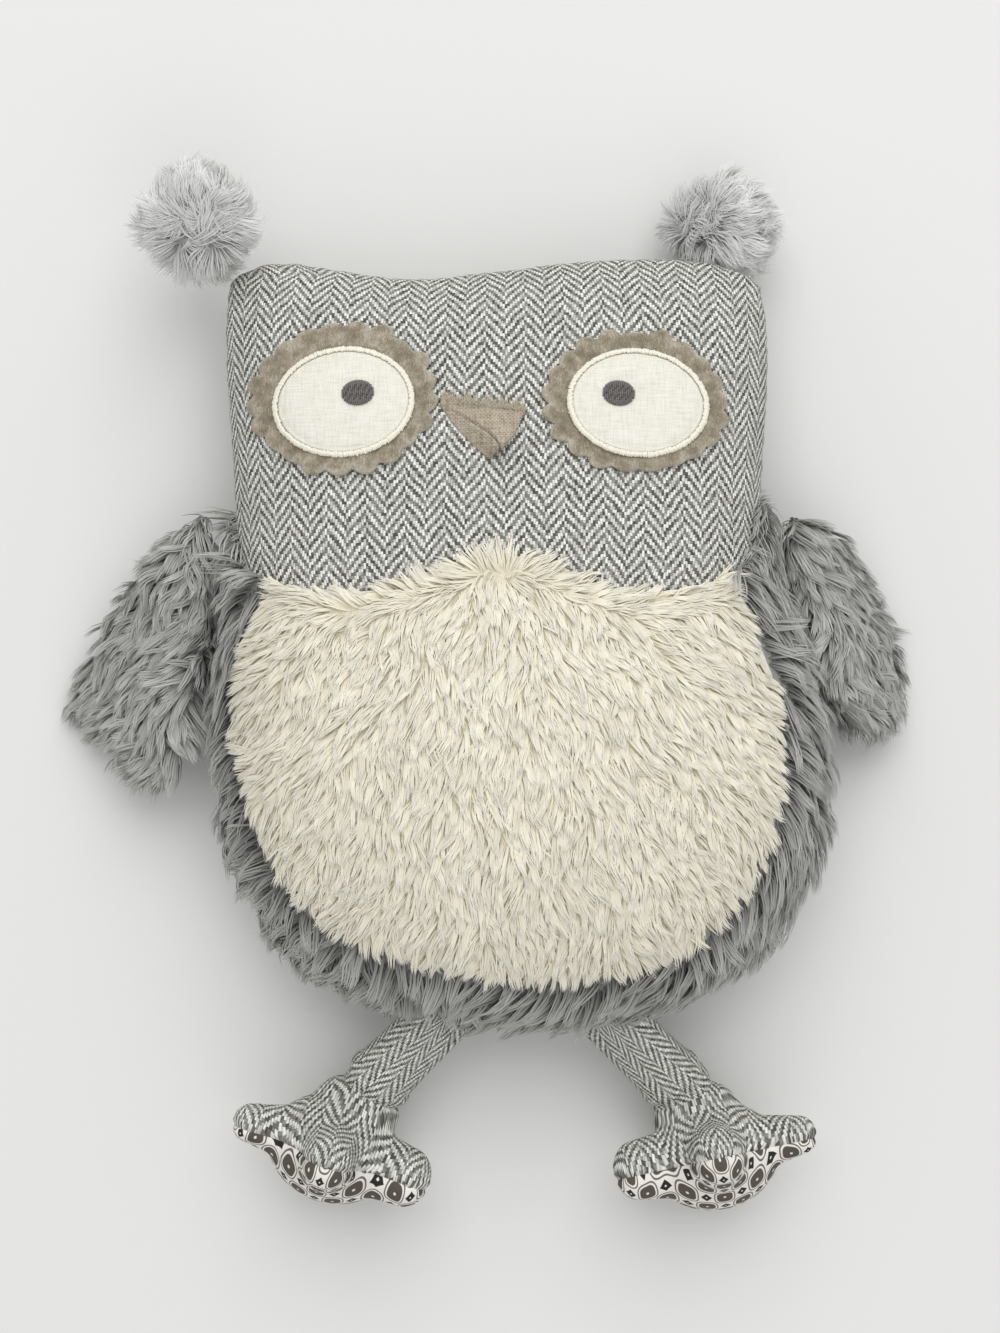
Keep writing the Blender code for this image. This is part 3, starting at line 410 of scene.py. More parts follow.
def makePrint():
    material, tree, shader = newMaterial("printed cotton", {"Roughness": 0.8})
    cloth = addNode(tree, "ShaderNodeUVMap", uv_map="weave")
    steps = addNode(tree, "ShaderNodeVectorMath", {0: cloth, "Scale": 1 / printed["apart"]}, operation="SCALE")
    way = addNode(tree, "ShaderNodeSeparateXYZ", {0: steps})
    # Every second crossing has a field: count along the diagonals, then measure from the nearest one
    near = []
    for operation in ("ADD", "SUBTRACT"):
        crossed = addNode(
            tree, "ShaderNodeMath", {0: way.outputs["X"], 1: way.outputs["Y"]}, operation=operation)
        half = addNode(tree, "ShaderNodeMath", {0: crossed, 1: 0.5, 2: 0.5}, operation="MULTIPLY_ADD")
        part = addNode(tree, "ShaderNodeMath", {0: half}, operation="FRACT")
        near.append(addNode(tree, "ShaderNodeMath", {0: part, 1: 0.5}, operation="SUBTRACT"))
    sides, cubes = [], []
    for operation in ("ADD", "SUBTRACT"):
        side = addNode(tree, "ShaderNodeMath", {0: near[0], 1: near[1]}, operation=operation)
        sides.append(addNode(tree, "ShaderNodeMath", {0: side}, operation="ABSOLUTE"))
        cubes.append(addNode(tree, "ShaderNodeMath", {0: sides[-1], 1: 3.0}, operation="POWER"))
    total = addNode(tree, "ShaderNodeMath", {0: cubes[0], 1: cubes[1]}, operation="ADD")
    reach = addNode(tree, "ShaderNodeMath", {0: total, 1: 1 / 3}, operation="POWER")
    white, brown, grey = printed["white"], printed["brown"], printed["grey"]
    stops = (
        (0.06, white), (0.09, brown), (0.43, brown), (0.455, white),
        (0.515, white), (0.535, grey), (0.585, grey), (0.605, white),
    )
    fields = addNode(tree, "ShaderNodeValToRGB", {"Fac": reach}, stops)
    longer = addNode(tree, "ShaderNodeMath", {0: sides[0], 1: sides[1]}, operation="MAXIMUM")
    shorter = addNode(tree, "ShaderNodeMath", {0: sides[0], 1: sides[1]}, operation="MINIMUM")
    offset = addNode(tree, "ShaderNodeMath", {0: shorter, 1: longer}, operation="SUBTRACT")
    fromDiamond = addNode(tree, "ShaderNodeMath", {0: offset, 1: 1.0}, operation="ADD")
    stops = ((0.05, white), (0.075, printed["black"]))
    diamond = addNode(tree, "ShaderNodeValToRGB", {"Fac": fromDiamond}, stops)
    within = addNode(tree, "ShaderNodeMapRange", {
        "Value": fromDiamond, "From Min": 0.29, "From Max": 0.32, "To Min": 1.0, "To Max": 0.0})
    inked = addNode(tree, "ShaderNodeMix", {"Factor": within, "A": fields, "B": diamond}, data_type="RGBA")
    grain = addNode(tree, "ShaderNodeTexNoise", {"Vector": cloth, "Scale": 2400.0, "Detail": 2.0})
    grainAndEdgeLight = addNode(tree, "ShaderNodeMapRange", {"Value": grain, "To Min": 0.8, "To Max": 1.15})
    shaded = addNode(
        tree, "ShaderNodeVectorMath", {0: inked.outputs["Result"], "Scale": grainAndEdgeLight}, operation="SCALE")
    paint(tree, shader, shaded, grain, 0.4, 0.0003)
    return material


def makePile(name, colours, roughness, darkest=0.80):
    # Acrylic pile: painted shade darkens it towards the dense root, pale and lustrous at the tip, each tuft its
    # own tone
    material, tree, shader = newMaterial(name, {"Roughness": roughness, "Specular IOR Level": 0.3})
    rise = addNode(tree, "ShaderNodeAttribute", attribute_name="rise").outputs["Fac"]
    tone = addNode(tree, "ShaderNodeAttribute", attribute_name="tone").outputs["Fac"]
    # From root to tip: the darker root colour is painted shade among the strands
    ramp = addNode(tree, "ShaderNodeValToRGB", {"Fac": rise}, tuple(zip((0.0, 0.45, 1.0), colours)))
    shift = addNode(tree, "ShaderNodeMapRange", {"Value": tone, "To Min": darkest, "To Max": 1.06})
    shaded = addNode(tree, "ShaderNodeVectorMath", {0: ramp, "Scale": shift}, operation="SCALE")
    tree.links.new(shaded.outputs[0], shader.inputs["Base Color"])
    return material


def makeGround(name, colours):
    # Knitted backing and the shadowed roots of the pile
    material, tree, shader = newMaterial(name, {"Roughness": 0.95})
    spot = addNode(tree, "ShaderNodeTexCoord").outputs["Object"]
    stretched = addNode(tree, "ShaderNodeMapping", {"Vector": spot, "Scale": (900, 260, 500)})
    tufts = addNode(tree, "ShaderNodeTexNoise", {"Vector": stretched, "Scale": 1.0, "Detail": 4.0})
    ramp = addNode(tree, "ShaderNodeValToRGB", {"Fac": tufts}, tuple(zip((0.3, 0.7), colours)))
    paint(tree, shader, ramp, tufts, 0.8, 0.0015)
    return material


tweedCloth = makeTweed()
feltCloth = makeFelt()
eyeLinen = makeWeave("cream linen", 0.00060, ("#D6D3C4", "#E5E3D7", "#EFEDE3"), 0.85, 0.0003)
beakLinen = makeWeave("beige linen", 0.00070, ("#857967", "#A89D8B", "#C9BFB0"), 0.9, 0.0005)
rimThread = makeThread("cream satin thread", ("#E6E1D0", "#FAF7EA"), 0.45)
pupilThread = makeThread("slate satin thread", ("#5A5654", "#7C7774"), 0.5)
tackThread = makeThread("grey sewing thread", ("#8F8F8C", "#B5B5B1"), 0.6)
solePrint = makePrint()
# Each pile's first colour is its root, darkened as painted shade
creamPile = makePile("cream pile", ("#E2DAC2", "#EFE9D5", "#F4F1E6"), 0.62, 0.86)
greyPile = makePile("grey pile", ("#6A6A67", "#AAAAA6", "#D6D6D2"), 0.5, 0.72)
palePile = makePile("pale grey pile", ("#B4B4B0", "#F0F0EE", "#FFFFFD"), 0.5, 0.74)
creamGround = makeGround("cream pile backing", ("#DDD6BF", "#EAE4CF"))
greyGround = makeGround("grey pile backing", ("#83837F", "#A6A6A2"))
paleGround = makeGround("pale pile backing", ("#A0A09E", "#C4C4C2"))


# The cushion that is head and body in one; the seam lines are the ones it is cut along, in mm
print("cushion")
cushion = {
    "voxel": 0.0038, "coverOut": 0.0027, "backingOut": 0.0016, "underPile": 0.005, "sideRound": 0.022,
    "pad": {"pressure": 4.0, "frames": 14, "maxMove": 0.0016},
    "neck": (
        (-130, 66), (-101.6, 65.3), (-94.4, 49.8), (-81.8, 42), (-66.4, 37.3), (-50.4, 36.2), (-29, 40.6),
        (-1.5, 49.1), (26, 40.6), (40.3, 36.2), (60.1, 37.3), (76.6, 43.8), (88.1, 54), (94.2, 71.7),
        (130, 72),
    ),
    "backNeck": ((-130, 65), (-101.6, 65.3), (-51, 59.7), (4, 57.6), (53.5, 61.1), (94.2, 71.7), (130, 72)),
    "belly": (
        (-81.8, 39.2), (-89.5, 21.5), (-93.9, 3.8), (-92.1, -20.3), (-81.8, -51.7), (-60.9, -76),
        (-29.6, -88.2), (12.1, -94.8), (46.9, -91.4), (67.8, -79.4), (86.8, -58.5), (93.7, -30.9),
        (93.7, 0.5), (87.6, 17.9), (77.2, 42), (48, 80), (0, 80), (-51, 80),
    ),
}


def smoothLine(points, steps=6):
    # Catmull and Rom's curve through the points, ends held
    held = [points[0], *points, points[-1]]
    line = []
    for a, b, c, d in zip(held, held[1:], held[2:], held[3:]):
        for k in range(steps):
            t = k / steps
            line.append([
                0.5 * (2 * q + (r - p) * t + (2 * p - 5 * q + 4 * r - s) * t * t
                       + (3 * q - p - 3 * r + s) * t ** 3)
                for p, q, r, s in zip(a, b, c, d)
            ])
    return np.array([*line, points[-1]]) / 1000


neckLine = smoothLine(cushion["neck"])
backNeckLine = smoothLine(cushion["backNeck"])
bellyLine = smoothLine([*cushion["belly"], cushion["belly"][0]])


def aboveNeck(points):
    # How far each point lies on the head's side of the neck seam, front or back
    front = points[:, 1] - np.interp(points[:, 0], neckLine[:, 0], neckLine[:, 1])
    back = points[:, 1] - np.interp(points[:, 0], backNeckLine[:, 0], backNeckLine[:, 1])
    return np.where(points[:, 2] > seamHeight, front, back)


def inside(points, outline):
    # True for points within the outline, seen from above
    x, y = points[:, 0], points[:, 1]
    found = np.zeros(len(points), bool)
    for (ax, ay), (bx, by) in zip(outline, np.roll(outline, -1, axis=0)):
        if ay != by:
            crossing = (ay > y) != (by > y)
            found ^= crossing & (x < (bx - ax) * (y - ay) / (by - ay) + ax)
    return found


def prismCutter(name, rings):
    # A closed cutter lofted through rings of points at their heights
    shape = bmesh.new()
    loops = [[shape.verts.new((x, y, height)) for x, y in points] for height, points in rings]
    for low, high in zip(loops, loops[1:]):
        for k in range(len(low)):
            following = (k + 1) % len(low)
            shape.faces.new((low[k], low[following], high[following], high[k]))
    shape.faces.new(loops[0])
    shape.faces.new(loops[-1])
    mesh = bpy.data.meshes.new(name)
    shape.to_mesh(mesh)
    shape.free()
    cutter = bpy.data.objects.new(name, mesh)
    scene.collection.objects.link(cutter)
    tidyNormals(cutter)
    return cutter


def cutWith(piece, cutter, operation):
    modify(piece, "BOOLEAN", operation=operation, solver="EXACT", object=cutter)


def headRegion(shift):
    # A block over the head: the neck's front line above the side seam, its back line below
    beyond = [(0.13, 0.26), (-0.13, 0.26)]
    front = [(x, y + shift) for x, y in neckLine] + beyond
    behind = np.interp(neckLine[:, 0], backNeckLine[:, 0], backNeckLine[:, 1]) + shift
    back = [*zip(neckLine[:, 0], behind), *beyond]
    return prismCutter("head region", (
        (-0.05, back), (seamHeight - 0.002, back), (seamHeight + 0.002, front), (0.15, front)))


stuffed = startFrom("cushion", "body_stuffing")
modify(stuffed, "SUBSURF", levels=1, render_levels=1)
modify(stuffed, "DISPLACE", strength=cushion["coverOut"], mid_level=0)
modify(stuffed, "REMESH", mode="VOXEL", voxel_size=cushion["voxel"], use_smooth_shade=True)
plump(stuffed, cushion["pad"])
modify(stuffed, "SMOOTH", factor=0.5, iterations=3)
print("cushion has", len(stuffed.data.vertices), "points")

headSkin = copyOf(stuffed, "head_cover")
region = headRegion(-cushion["underPile"])
cutWith(headSkin, region, "INTERSECT")
bpy.data.objects.remove(region)
modify(headSkin, "SUBSURF", levels=1, render_levels=1)


def sinkSeam(piece):
    # The seam round the head draws the cloth in, in small puckers
    points, normals = pointsOf(piece), normalsOf(piece)
    turn = np.arctan2(points[:, 1] - 0.1, points[:, 0])
    near = np.exp(-((points[:, 2] - seamHeight) / 0.0022) ** 2)
    pucker = 0.5 + 0.5 * np.sin(turn * 90 + 2 * np.sin(turn * 23))
    away = np.exp(-((points[:, 2] - seamHeight) / 0.007) ** 2)
    draw = 0.0011 * near + 0.0005 * away * pucker
    draw *= np.clip((aboveNeck(points) + 0.002) / 0.004, 0, 1)
    setPoints(piece, points - normals * draw[:, None])


sinkSeam(headSkin)


def layWeave(piece):
    # The cloth's own millimetres: lengths measured across and along the surface, front and back
    step = 0.0015
    xs = np.arange(-0.126, 0.124, step)
    ys = np.arange(0.0, 0.190, step)
    tree = treeOf(piece)
    maps = []
    for start, way in ((0.2, -1), (-0.1, 1)):
        heights = np.full((len(ys), len(xs)), np.nan)
        for j, y in enumerate(ys):
            for i, x in enumerate(xs):
                hit = tree.ray_cast(Vector((x, y, start)), Vector((0, 0, way)))[0]
                if hit:
                    heights[j, i] = hit.z
        lengths = []
        for axis, zero in ((1, int(np.argmin(abs(xs)))), (0, int(np.argmin(abs(ys - 0.1))))):
            rise = np.nan_to_num(np.diff(heights, axis=axis))
            piled = np.cumsum(np.sqrt(step ** 2 + np.clip(rise, -step, step) ** 2), axis=axis)
            piled = np.insert(piled, 0, 0, axis=axis)
            piled -= piled[:, zero:zero + 1] if axis == 1 else piled[zero:zero + 1, :]
            lengths.append(piled)
        maps.append(lengths)
    mesh = piece.data
    layer = mesh.uv_layers.new(name="weave")
    points = pointsOf(piece)
    across = np.clip((points[:, 0] - xs[0]) / step, 0, len(xs) - 1.001)
    along = np.clip((points[:, 1] - ys[0]) / step, 0, len(ys) - 1.001)
    i, j = across.astype(int), along.astype(int)
    s, t = across - i, along - j
    laid = []
    for lengths in maps:
        laid.append(np.stack([
            (m[j, i] * (1 - s) + m[j, i + 1] * s) * (1 - t)
            + (m[j + 1, i] * (1 - s) + m[j + 1, i + 1] * s) * t
            for m in lengths
        ], axis=1))
    # Steeper than 45 degrees the cloth turns down to the side seam, round a curve of its own
    normals = normalsOf(piece)
    steep = np.maximum(np.arccos(np.clip(abs(normals[:, 2]), 0, 1)), math.pi / 4)
    slack = cushion["sideRound"] * (steep - math.pi / 4 + 1 - math.sqrt(2) * np.sin(steep))
    aside = unit(np.column_stack([normals[:, :2], np.zeros(len(points))]))[:, :2]
    laid = [front + aside * slack[:, None] for front in laid]
    for face in mesh.polygons:
        chosen = laid[0] if face.center.z > seamHeight else laid[1]
        for loop in face.loop_indices:
            layer.data[loop].uv = chosen[mesh.loops[loop].vertex_index]


layWeave(headSkin)
dress(headSkin, tweedCloth, "body")
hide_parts("head_front_panel", "head_back_panel")
headTree = treeOf(headSkin)
print("head", len(headSkin.data.polygons), "faces")


# The backing cloth of the body and belly, just outside the head's cover where they meet
bodyGround = copyOf(stuffed, "body_backing")
modify(bodyGround, "DISPLACE", strength=cushion["backingOut"], mid_level=0)
region = headRegion(0.0)
cutWith(bodyGround, region, "DIFFERENCE")
bpy.data.objects.remove(region)
bellyCutter = prismCutter("belly cutter", ((seamHeight + 0.004, bellyLine[:-1]), (0.15, bellyLine[:-1])))
bellyGround = copyOf(bodyGround, "belly_backing")
cutWith(bellyGround, bellyCutter, "INTERSECT")
cutWith(bodyGround, bellyCutter, "DIFFERENCE")
bpy.data.objects.remove(bellyCutter)
dress(bodyGround, greyGround, "body")
dress(bellyGround, creamGround, "body")
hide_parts("body_front_panel", "body_back_panel", "body_stuffing")
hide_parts("belly_panel")


# Pile is grown as real strands: tapered, three sided, gathered into locks
def scatter(piece, count, random, wanted):
    # Roots strewn evenly over the surface, thinned where fewer are wanted
    mesh = piece.data
    mesh.calc_loop_triangles()
    corners = np.empty(len(mesh.loop_triangles) * 3, int)
    mesh.loop_triangles.foreach_get("vertices", corners)
    corners = corners.reshape(-1, 3)
    points, normals = pointsOf(piece), normalsOf(piece)
    a, b, c = points[corners[:, 0]], points[corners[:, 1]], points[corners[:, 2]]
    area = np.linalg.norm(np.cross(b - a, c - a), axis=1) / 2
    facing = normals[corners].mean(axis=1)
    weight = area * wanted((a + b + c) / 3, facing)
    piled = np.cumsum(weight)
    chosen = np.searchsorted(piled, random.random(count) * piled[-1])
    s, t = random.random(count), random.random(count)
    flip = s + t > 1
    s[flip], t[flip] = 1 - s[flip], 1 - t[flip]
    picked = corners[chosen]
    mix = np.stack([1 - s - t, s, t], axis=1)[:, :, None]
    roots = (points[picked] * mix).sum(axis=1)
    ups = (normals[picked] * mix).sum(axis=1)
    return roots, ups / np.linalg.norm(ups, axis=1, keepdims=True)


def crush(points, size):
    # Handled pile lies this way and that: a smooth wander from -1 to 1 over patches of the size
    x, y, z = points.T * (2 * math.pi / size)
    first = np.sin(x * 0.61 + 1.9 * np.sin(y * 0.37 + z * 0.5))
    second = np.sin(y * 0.73 + 2.3 * np.sin(x * 0.29 + 1.3))
    return (first + second) / 2


def growLocks(roots, ups, flow, pile, random):
    # The rings of every strand, root to tip, each strand drawn to its lock's own line
    count = len(roots)
    along = unit(flow - ups * (flow * ups).sum(axis=1, keepdims=True))
    sideways = np.cross(ups, along)
    locks = max(1, count // pile["strandsALock"])
    finder = KDTree(locks)
    for k in range(locks):
        finder.insert(Vector(roots[k]), k)
    finder.balance()
    lock = np.array([finder.find(Vector(p))[1] for p in roots])
    turn = random.normal(0, pile["lockStray"], locks)[lock] + random.normal(0, pile["strandStray"], count)
    turn += pile["swirl"] * crush(roots[:locks], pile["crush"])[lock]
    aim = along * np.cos(turn)[:, None] + sideways * np.sin(turn)[:, None]
    long = pile["length"] * (0.78 + 0.40 * random.random(locks))[lock] * (0.85 + 0.25 * random.random(count))
    lift = pile["lift"] * (0.55 + 0.9 * random.random(locks))[lock] * (0.8 + 0.4 * random.random(count))
    phase = (random.random(locks) * 2 * math.pi)[lock]
    curl = pile["curl"] * long * (0.4 + random.random(locks))[lock]
    shares = np.linspace(0, 1, pile["rings"] + 1)
    lines = []
    for t in shares:
        swing = curl * np.sin(phase + t * 4.2) * t
        lines.append(
            roots + aim * (long * t ** 1.2)[:, None] + ups * (long * lift * (1.9 * t - 0.95 * t * t))[:, None]
            + sideways * swing[:, None]
        )
    lines = np.array(lines)
    pulls = pile["gather"] * shares ** 0.8
    return lines + (lines[:, lock] - lines) * pulls[:, None, None], lock


strand = {
    # Its thickness in shares of its width, and how it narrows from root to tip
    "flat": 0.55, "rootWide": 0.85, "wide": 1.05, "narrow": 0.55, "mostTriangles": 195000,
}


def inCell(side, share):
    # A place on one side of a strand, in the strand's own square of the map
    return (side + 0.02) / 3.06 + 0.005, 0.14 + 0.84 * share


def strandMesh(name, lines, ups, width, tones, random):
    # All the strands of a piece as one mesh, three sided and pointed
    rings, count = len(lines), lines.shape[1]
    shares = np.linspace(0, 1, rings)
    thick = width * (0.75 + 0.5 * random.random(count)) / 2
    taper = [strand["rootWide"], *(strand["wide"] * (1 - t) ** strand["narrow"] for t in shares[1:-1])]
    lows = np.roll(lines, 1, axis=0)
    lows[0] = lines[0]
    highs = np.roll(lines, -1, axis=0)
    highs[-1] = lines[-1]
    sides, shading, unders = [], [], []
    for ring in range(rings - 1):
        heading = unit(highs[ring] - lows[ring])
        first = unit(np.cross(heading, ups))
        second = np.cross(first, heading)
        unders.append(-second)
        for corner in range(3):
            angle = math.pi / 2 + corner * 2 * math.pi / 3
            reach = first * math.cos(angle) + second * math.sin(angle) * strand["flat"]
            sides.append(lines[ring] + reach * (thick * taper[ring])[:, None])
            shading.append(unit(ups * 0.7 + unit(reach) * 0.3))
    vertices = np.stack([*sides, lines[-1]], axis=1)
    shading = np.stack([*shading, ups], axis=1)
    per = vertices.shape[1]
    start = np.arange(count)[:, None] * per
    loops, sizes, cells, lit = [], [], [], []
    for ring in range(rings - 2):
        for side in range(3):
            nextSide = (side + 1) % 3
            base = ring * 3
            loops += [base + nextSide, base + side, base + 3 + side, base + 3 + nextSide]
            for across, at in ((0.96, ring), (0, ring), (0, ring + 1), (0.96, ring + 1)):
                cells.append(inCell(side + across, shares[at]))
            lit += [per + ring] * 4 if side == 1 else loops[-4:]
            sizes.append(4)
    for side in range(3):
        base = (rings - 2) * 3
        loops += [base + (side + 1) % 3, base + side, per - 1]
        low = shares[-2]
        cells += [inCell(side + 0.96, low), inCell(side, low), inCell(side + 0.48, 1)]
        lit += [per + rings - 2] * 3 if side == 1 else loops[-3:]
        sizes.append(3)
    loops += [0, 1, 2]
    lit += [per] * 3
    cells += [(0.5, 0.11), (0.9, 0.01), (0.1, 0.01)]
    sizes.append(3)
    mesh = bpy.data.meshes.new(name)
    mesh.vertices.add(count * per)
    mesh.vertices.foreach_set("co", vertices.reshape(-1))
    mesh.loops.add(count * len(loops))
    mesh.loops.foreach_set("vertex_index", (start + np.array(loops)).ravel())
    mesh.polygons.add(count * len(sizes))
    begins = np.concatenate([[0], np.cumsum(np.tile(sizes, count))[:-1]])
    mesh.polygons.foreach_set("loop_start", begins)
    mesh.update(calc_edges=True)
    mesh.polygons.foreach_set("use_smooth", np.ones(count * len(sizes), bool))
    # Fine hairs scatter light between them, so a lock is lit much as the surface it lies on,
    # all but the underside of each strand
    shading = np.concatenate([shading, np.stack(unders, axis=1)], axis=1)
    mesh.normals_split_custom_set(shading[:, lit].reshape(-1, 3))
    # Each strand has a square of its own in the map, so its colour can be baked
    grid = math.ceil(math.sqrt(count))
    corner = np.stack([np.arange(count) % grid, np.arange(count) // grid], axis=1)[:, None, :]
    layer = mesh.uv_layers.new(name="OFBake")
    layer.data.foreach_set("uv", ((corner + np.array(cells)[None]) / grid).ravel())
    rise = np.append(np.repeat(shares[:-1], 3), 1.0)
    for attribute, values in (("rise", np.tile(rise, count)), ("tone", np.repeat(tones, per))):
        made = mesh.attributes.new(attribute, "FLOAT", "POINT")
        made.data.foreach_set("value", values.astype(np.float32))
    piece = bpy.data.objects.new(name, mesh)
    scene.collection.objects.link(piece)
    return piece


def growPile(name, ground, pile, flowOf, wanted, material, body, seed, shade=None):
    random = np.random.default_rng(seed)
    roots, ups = scatter(ground, pile["count"], random, wanted)
    lines, lock = growLocks(roots, ups, flowOf(roots, ups), pile, random)
    floorGap = 0.0004 + 0.0012 * random.random(len(roots))
    lines[:, :, 2] = np.maximum(lines[:, :, 2], floorGap)
    tones = 0.7 * random.random(lock.max() + 1)[lock] + 0.3 * random.random(len(roots))
    if shade:
        tones += shade(roots)
    # Split by place so that no piece is too heavy; whole locks stay together
    order = np.argsort(roots[lock][:, 1], kind="stable")
    trianglesEach = 6 * (pile["rings"] - 1) + 4
    parts = math.ceil(len(roots) * trianglesEach / strand["mostTriangles"])
    made = []
    for part, chosen in enumerate(np.array_split(order, parts)):
        piece = strandMesh(
            name if parts == 1 else f"{name}_{part + 1}", lines[:, chosen], ups[chosen], pile["width"],
            tones[chosen], random,
        )
        made.append(dress(piece, material, body))
    print(name, len(roots), "strands in", parts)
    return made


def flowFrom(controls):
    # Directions set at a few places, in mm and degrees, blended between them
    places = np.array([c[:2] for c in controls]) / 1000
    angles = np.radians([c[2] for c in controls])
    ways = np.stack([np.cos(angles), np.sin(angles)], axis=1)

    def flow(roots, ups):
        near = ((roots[:, None, :2] - places[None]) ** 2).sum(axis=2)
        weight = 1 / (near + 0.00006) ** 1.5
        blended = (weight[:, :, None] * ways[None]).sum(axis=1) / weight.sum(axis=1, keepdims=True)
        return np.column_stack([blended, np.zeros(len(roots))])

    return flow


print("pile")
downFlow = flowFrom((
    (-1, 36, -92), (-20, 36, -108), (-45, 30, -112), (-72, 36, -120), (-84, 30, -160), (-70, 10, -116),
    (-92, 8, -170), (-60, -4, -108), (-92, -18, -165), (-76, -38, -120), (-40, 12, -102), (-40, -40, -96),
    (-20, 20, -98), (0, 20, -86), (0, -20, -88), (0, -60, -90), (-58, -74, -125), (-30, -88, -105),
    (20, 34, -66), (40, 28, -52), (62, 30, -48), (84, 32, -30), (40, 12, -56), (70, 12, -48),
    (92, 8, -30), (93, -20, -45), (60, -10, -58), (30, -10, -70), (40, -50, -76), (80, -58, -52),
    (60, -82, -65), (20, -93, -88),
))


def creamFlow(roots, ups):
    # Downward, but brushed up over the neck seam along the belly's top edge
    down = downFlow(roots, ups)
    below = np.interp(roots[:, 0], neckLine[:, 0], neckLine[:, 1]) - roots[:, 1]
    x = roots[:, 0] - belly["peak"]
    angle = math.pi / 2 - np.sign(x) * np.radians(64) * np.tanh(abs(x) / 0.012)
    over = np.stack([np.cos(angle), np.sin(angle), np.zeros(len(x))], axis=1)
    share = (1 / (1 + np.exp((below - belly["brushed"]) / 0.0011)))[:, None]
    return down * (1 - share) + over * share


greyFlow = flowFrom((
    (-105, 50, -110), (-108, 10, -125), (-104, -30, -140), (-88, -70, -138), (-50, -100, -118),
    (-20, -108, -105), (10, -110, -140), (45, -105, -132), (80, -85, -100), (104, -55, -78),
    (116, -20, -45), (114, 20, -50), (104, 55, -80),
))
belly = {
    "count": 39200, "length": 0.0090, "lift": 0.25, "width": 0.00080, "strandsALock": 9, "rings": 3,
    "lockStray": 0.22, "strandStray": 0.10, "curl": 0.07, "gather": 0.55, "swirl": 0.34, "crush": 0.026,
    "peak": -0.0015, "brushed": 0.0052,
}
growPile(
    "belly_pile", bellyGround, belly, creamFlow,
    lambda at, up: (up[:, 2] > 0.1) & (aboveNeck(at) < 0.001) & (at[:, 2] > seamHeight + 0.006),
    creamPile, "body", 11,
)


def bodyFlow(roots, ups):
    front = greyFlow(roots, ups)
    outward = unit(np.column_stack([roots[:, 0], roots[:, 1] - 0.02, np.zeros(len(roots))]))
    back = unit(np.array([[0, -1, 0]]) + 0.5 * outward)
    share = np.clip((roots[:, 2] - seamHeight + 0.012) / 0.02, 0, 1)[:, None]
    return front * share + back * (1 - share) + np.array([[0, 0, -0.15]])


grey = {
    "count": 25500, "length": 0.0150, "lift": 0.36, "width": 0.00084, "strandsALock": 12, "rings": 3,
    "lockStray": 0.26, "strandStray": 0.10, "curl": 0.09, "gather": 0.60, "swirl": 0.42, "crush": 0.040,
}
growPile(
    "body_pile", bodyGround, grey, bodyFlow,
    lambda at, up: (aboveNeck(at) < 0.0015) & (up[:, 2] > -0.35) & ~(
        inside(at, bellyLine * 1.022) & (at[:, 2] > seamHeight + 0.006)),
    greyPile, "body", 12,
)
greyBack = dict(grey, count=8000, lift=0.2, width=0.0013)
growPile(
    "back_pile", bodyGround, greyBack, bodyFlow,
    lambda at, up: (aboveNeck(at) < 0.0015) & (up[:, 2] < -0.25),
    greyPile, "body", 13,
)


# Eyes
print("eyes")


def onHead(x, y, lift, step=0.003):
    # A place above the head's cloth, lifted square to the slope between a step to every side
    heights = []
    for dx, dy in ((0, 0), (step, 0), (-step, 0), (0, step), (0, -step)):
        hit = headTree.ray_cast(Vector((x + dx, y + dy, 0.3)), Vector((0, 0, -1)))[0]
        heights.append(hit.z if hit else seamHeight)
    slopes = (heights[2] - heights[1]) / (2 * step), (heights[4] - heights[3]) / (2 * step)
    up = Vector((*slopes, 1)).normalized()
    return Vector((x, y, heights[0])) + up * lift


eyes = {
    "left": {
        "felt": (-0.0567, 0.1057), "feltRadii": (0.0332, 0.0272), "tilt": 4,
        "linen": (-0.0558, 0.1037), "linenRadii": (0.0231, 0.0181), "pupil": (-0.0509, 0.1065),
    },
    "right": {
        "felt": (0.0456, 0.1042), "feltRadii": (0.0328, 0.0256), "tilt": -5,
        "linen": (0.0458, 0.1032), "linenRadii": (0.0231, 0.0179), "pupil": (0.0392, 0.1062),
    },
}
eyeMake = {
    "scallops": 21, "scallopDepth": 0.0017, "feltThick": 0.0022, "linenThick": 0.0009, "stitches": 230,
    "stitchLong": 0.0020, "stitchWide": 0.00085, "stitchHigh": 0.0009, "pupilRadii": (0.0055, 0.0044),
    "pupilColumns": 17, "pupilStitchHigh": 0.0011, "around": 208,
}


def laidOval(name, centre, radii, tilt, heights, edge=None):
    # A closed disc laid on the head: rings of points out to the edge, then under it
    around = eyeMake["around"]
    turn = Matrix.Rotation(math.radians(tilt), 2)
    vertices, faces = [], []
    for share, lift in heights:
        for k in range(around):
            angle = 2 * math.pi * k / around
            reach = share * (edge(angle) if edge and share > 0.7 else 1)
            flat = turn @ Vector((radii[0] * reach * math.cos(angle), radii[1] * reach * math.sin(angle)))
            up = lift(angle) if callable(lift) else lift
            vertices.append(onHead(centre[0] + flat.x, centre[1] + flat.y, up))
    vertices.append(onHead(*centre, heights[0][1]))
    vertices.append(onHead(*centre, heights[-1][1]))
    for ring in range(len(heights) - 1):
        for k in range(around):
            following = (k + 1) % around
            low, high = ring * around, (ring + 1) * around
            faces.append((low + k, high + k, high + following, low + following))
    last = (len(heights) - 1) * around
    for k in range(around):
        faces.append((len(vertices) - 2, k, (k + 1) % around))
        faces.append((len(vertices) - 1, last + (k + 1) % around, last + k))
    return addMesh(name, vertices, faces)


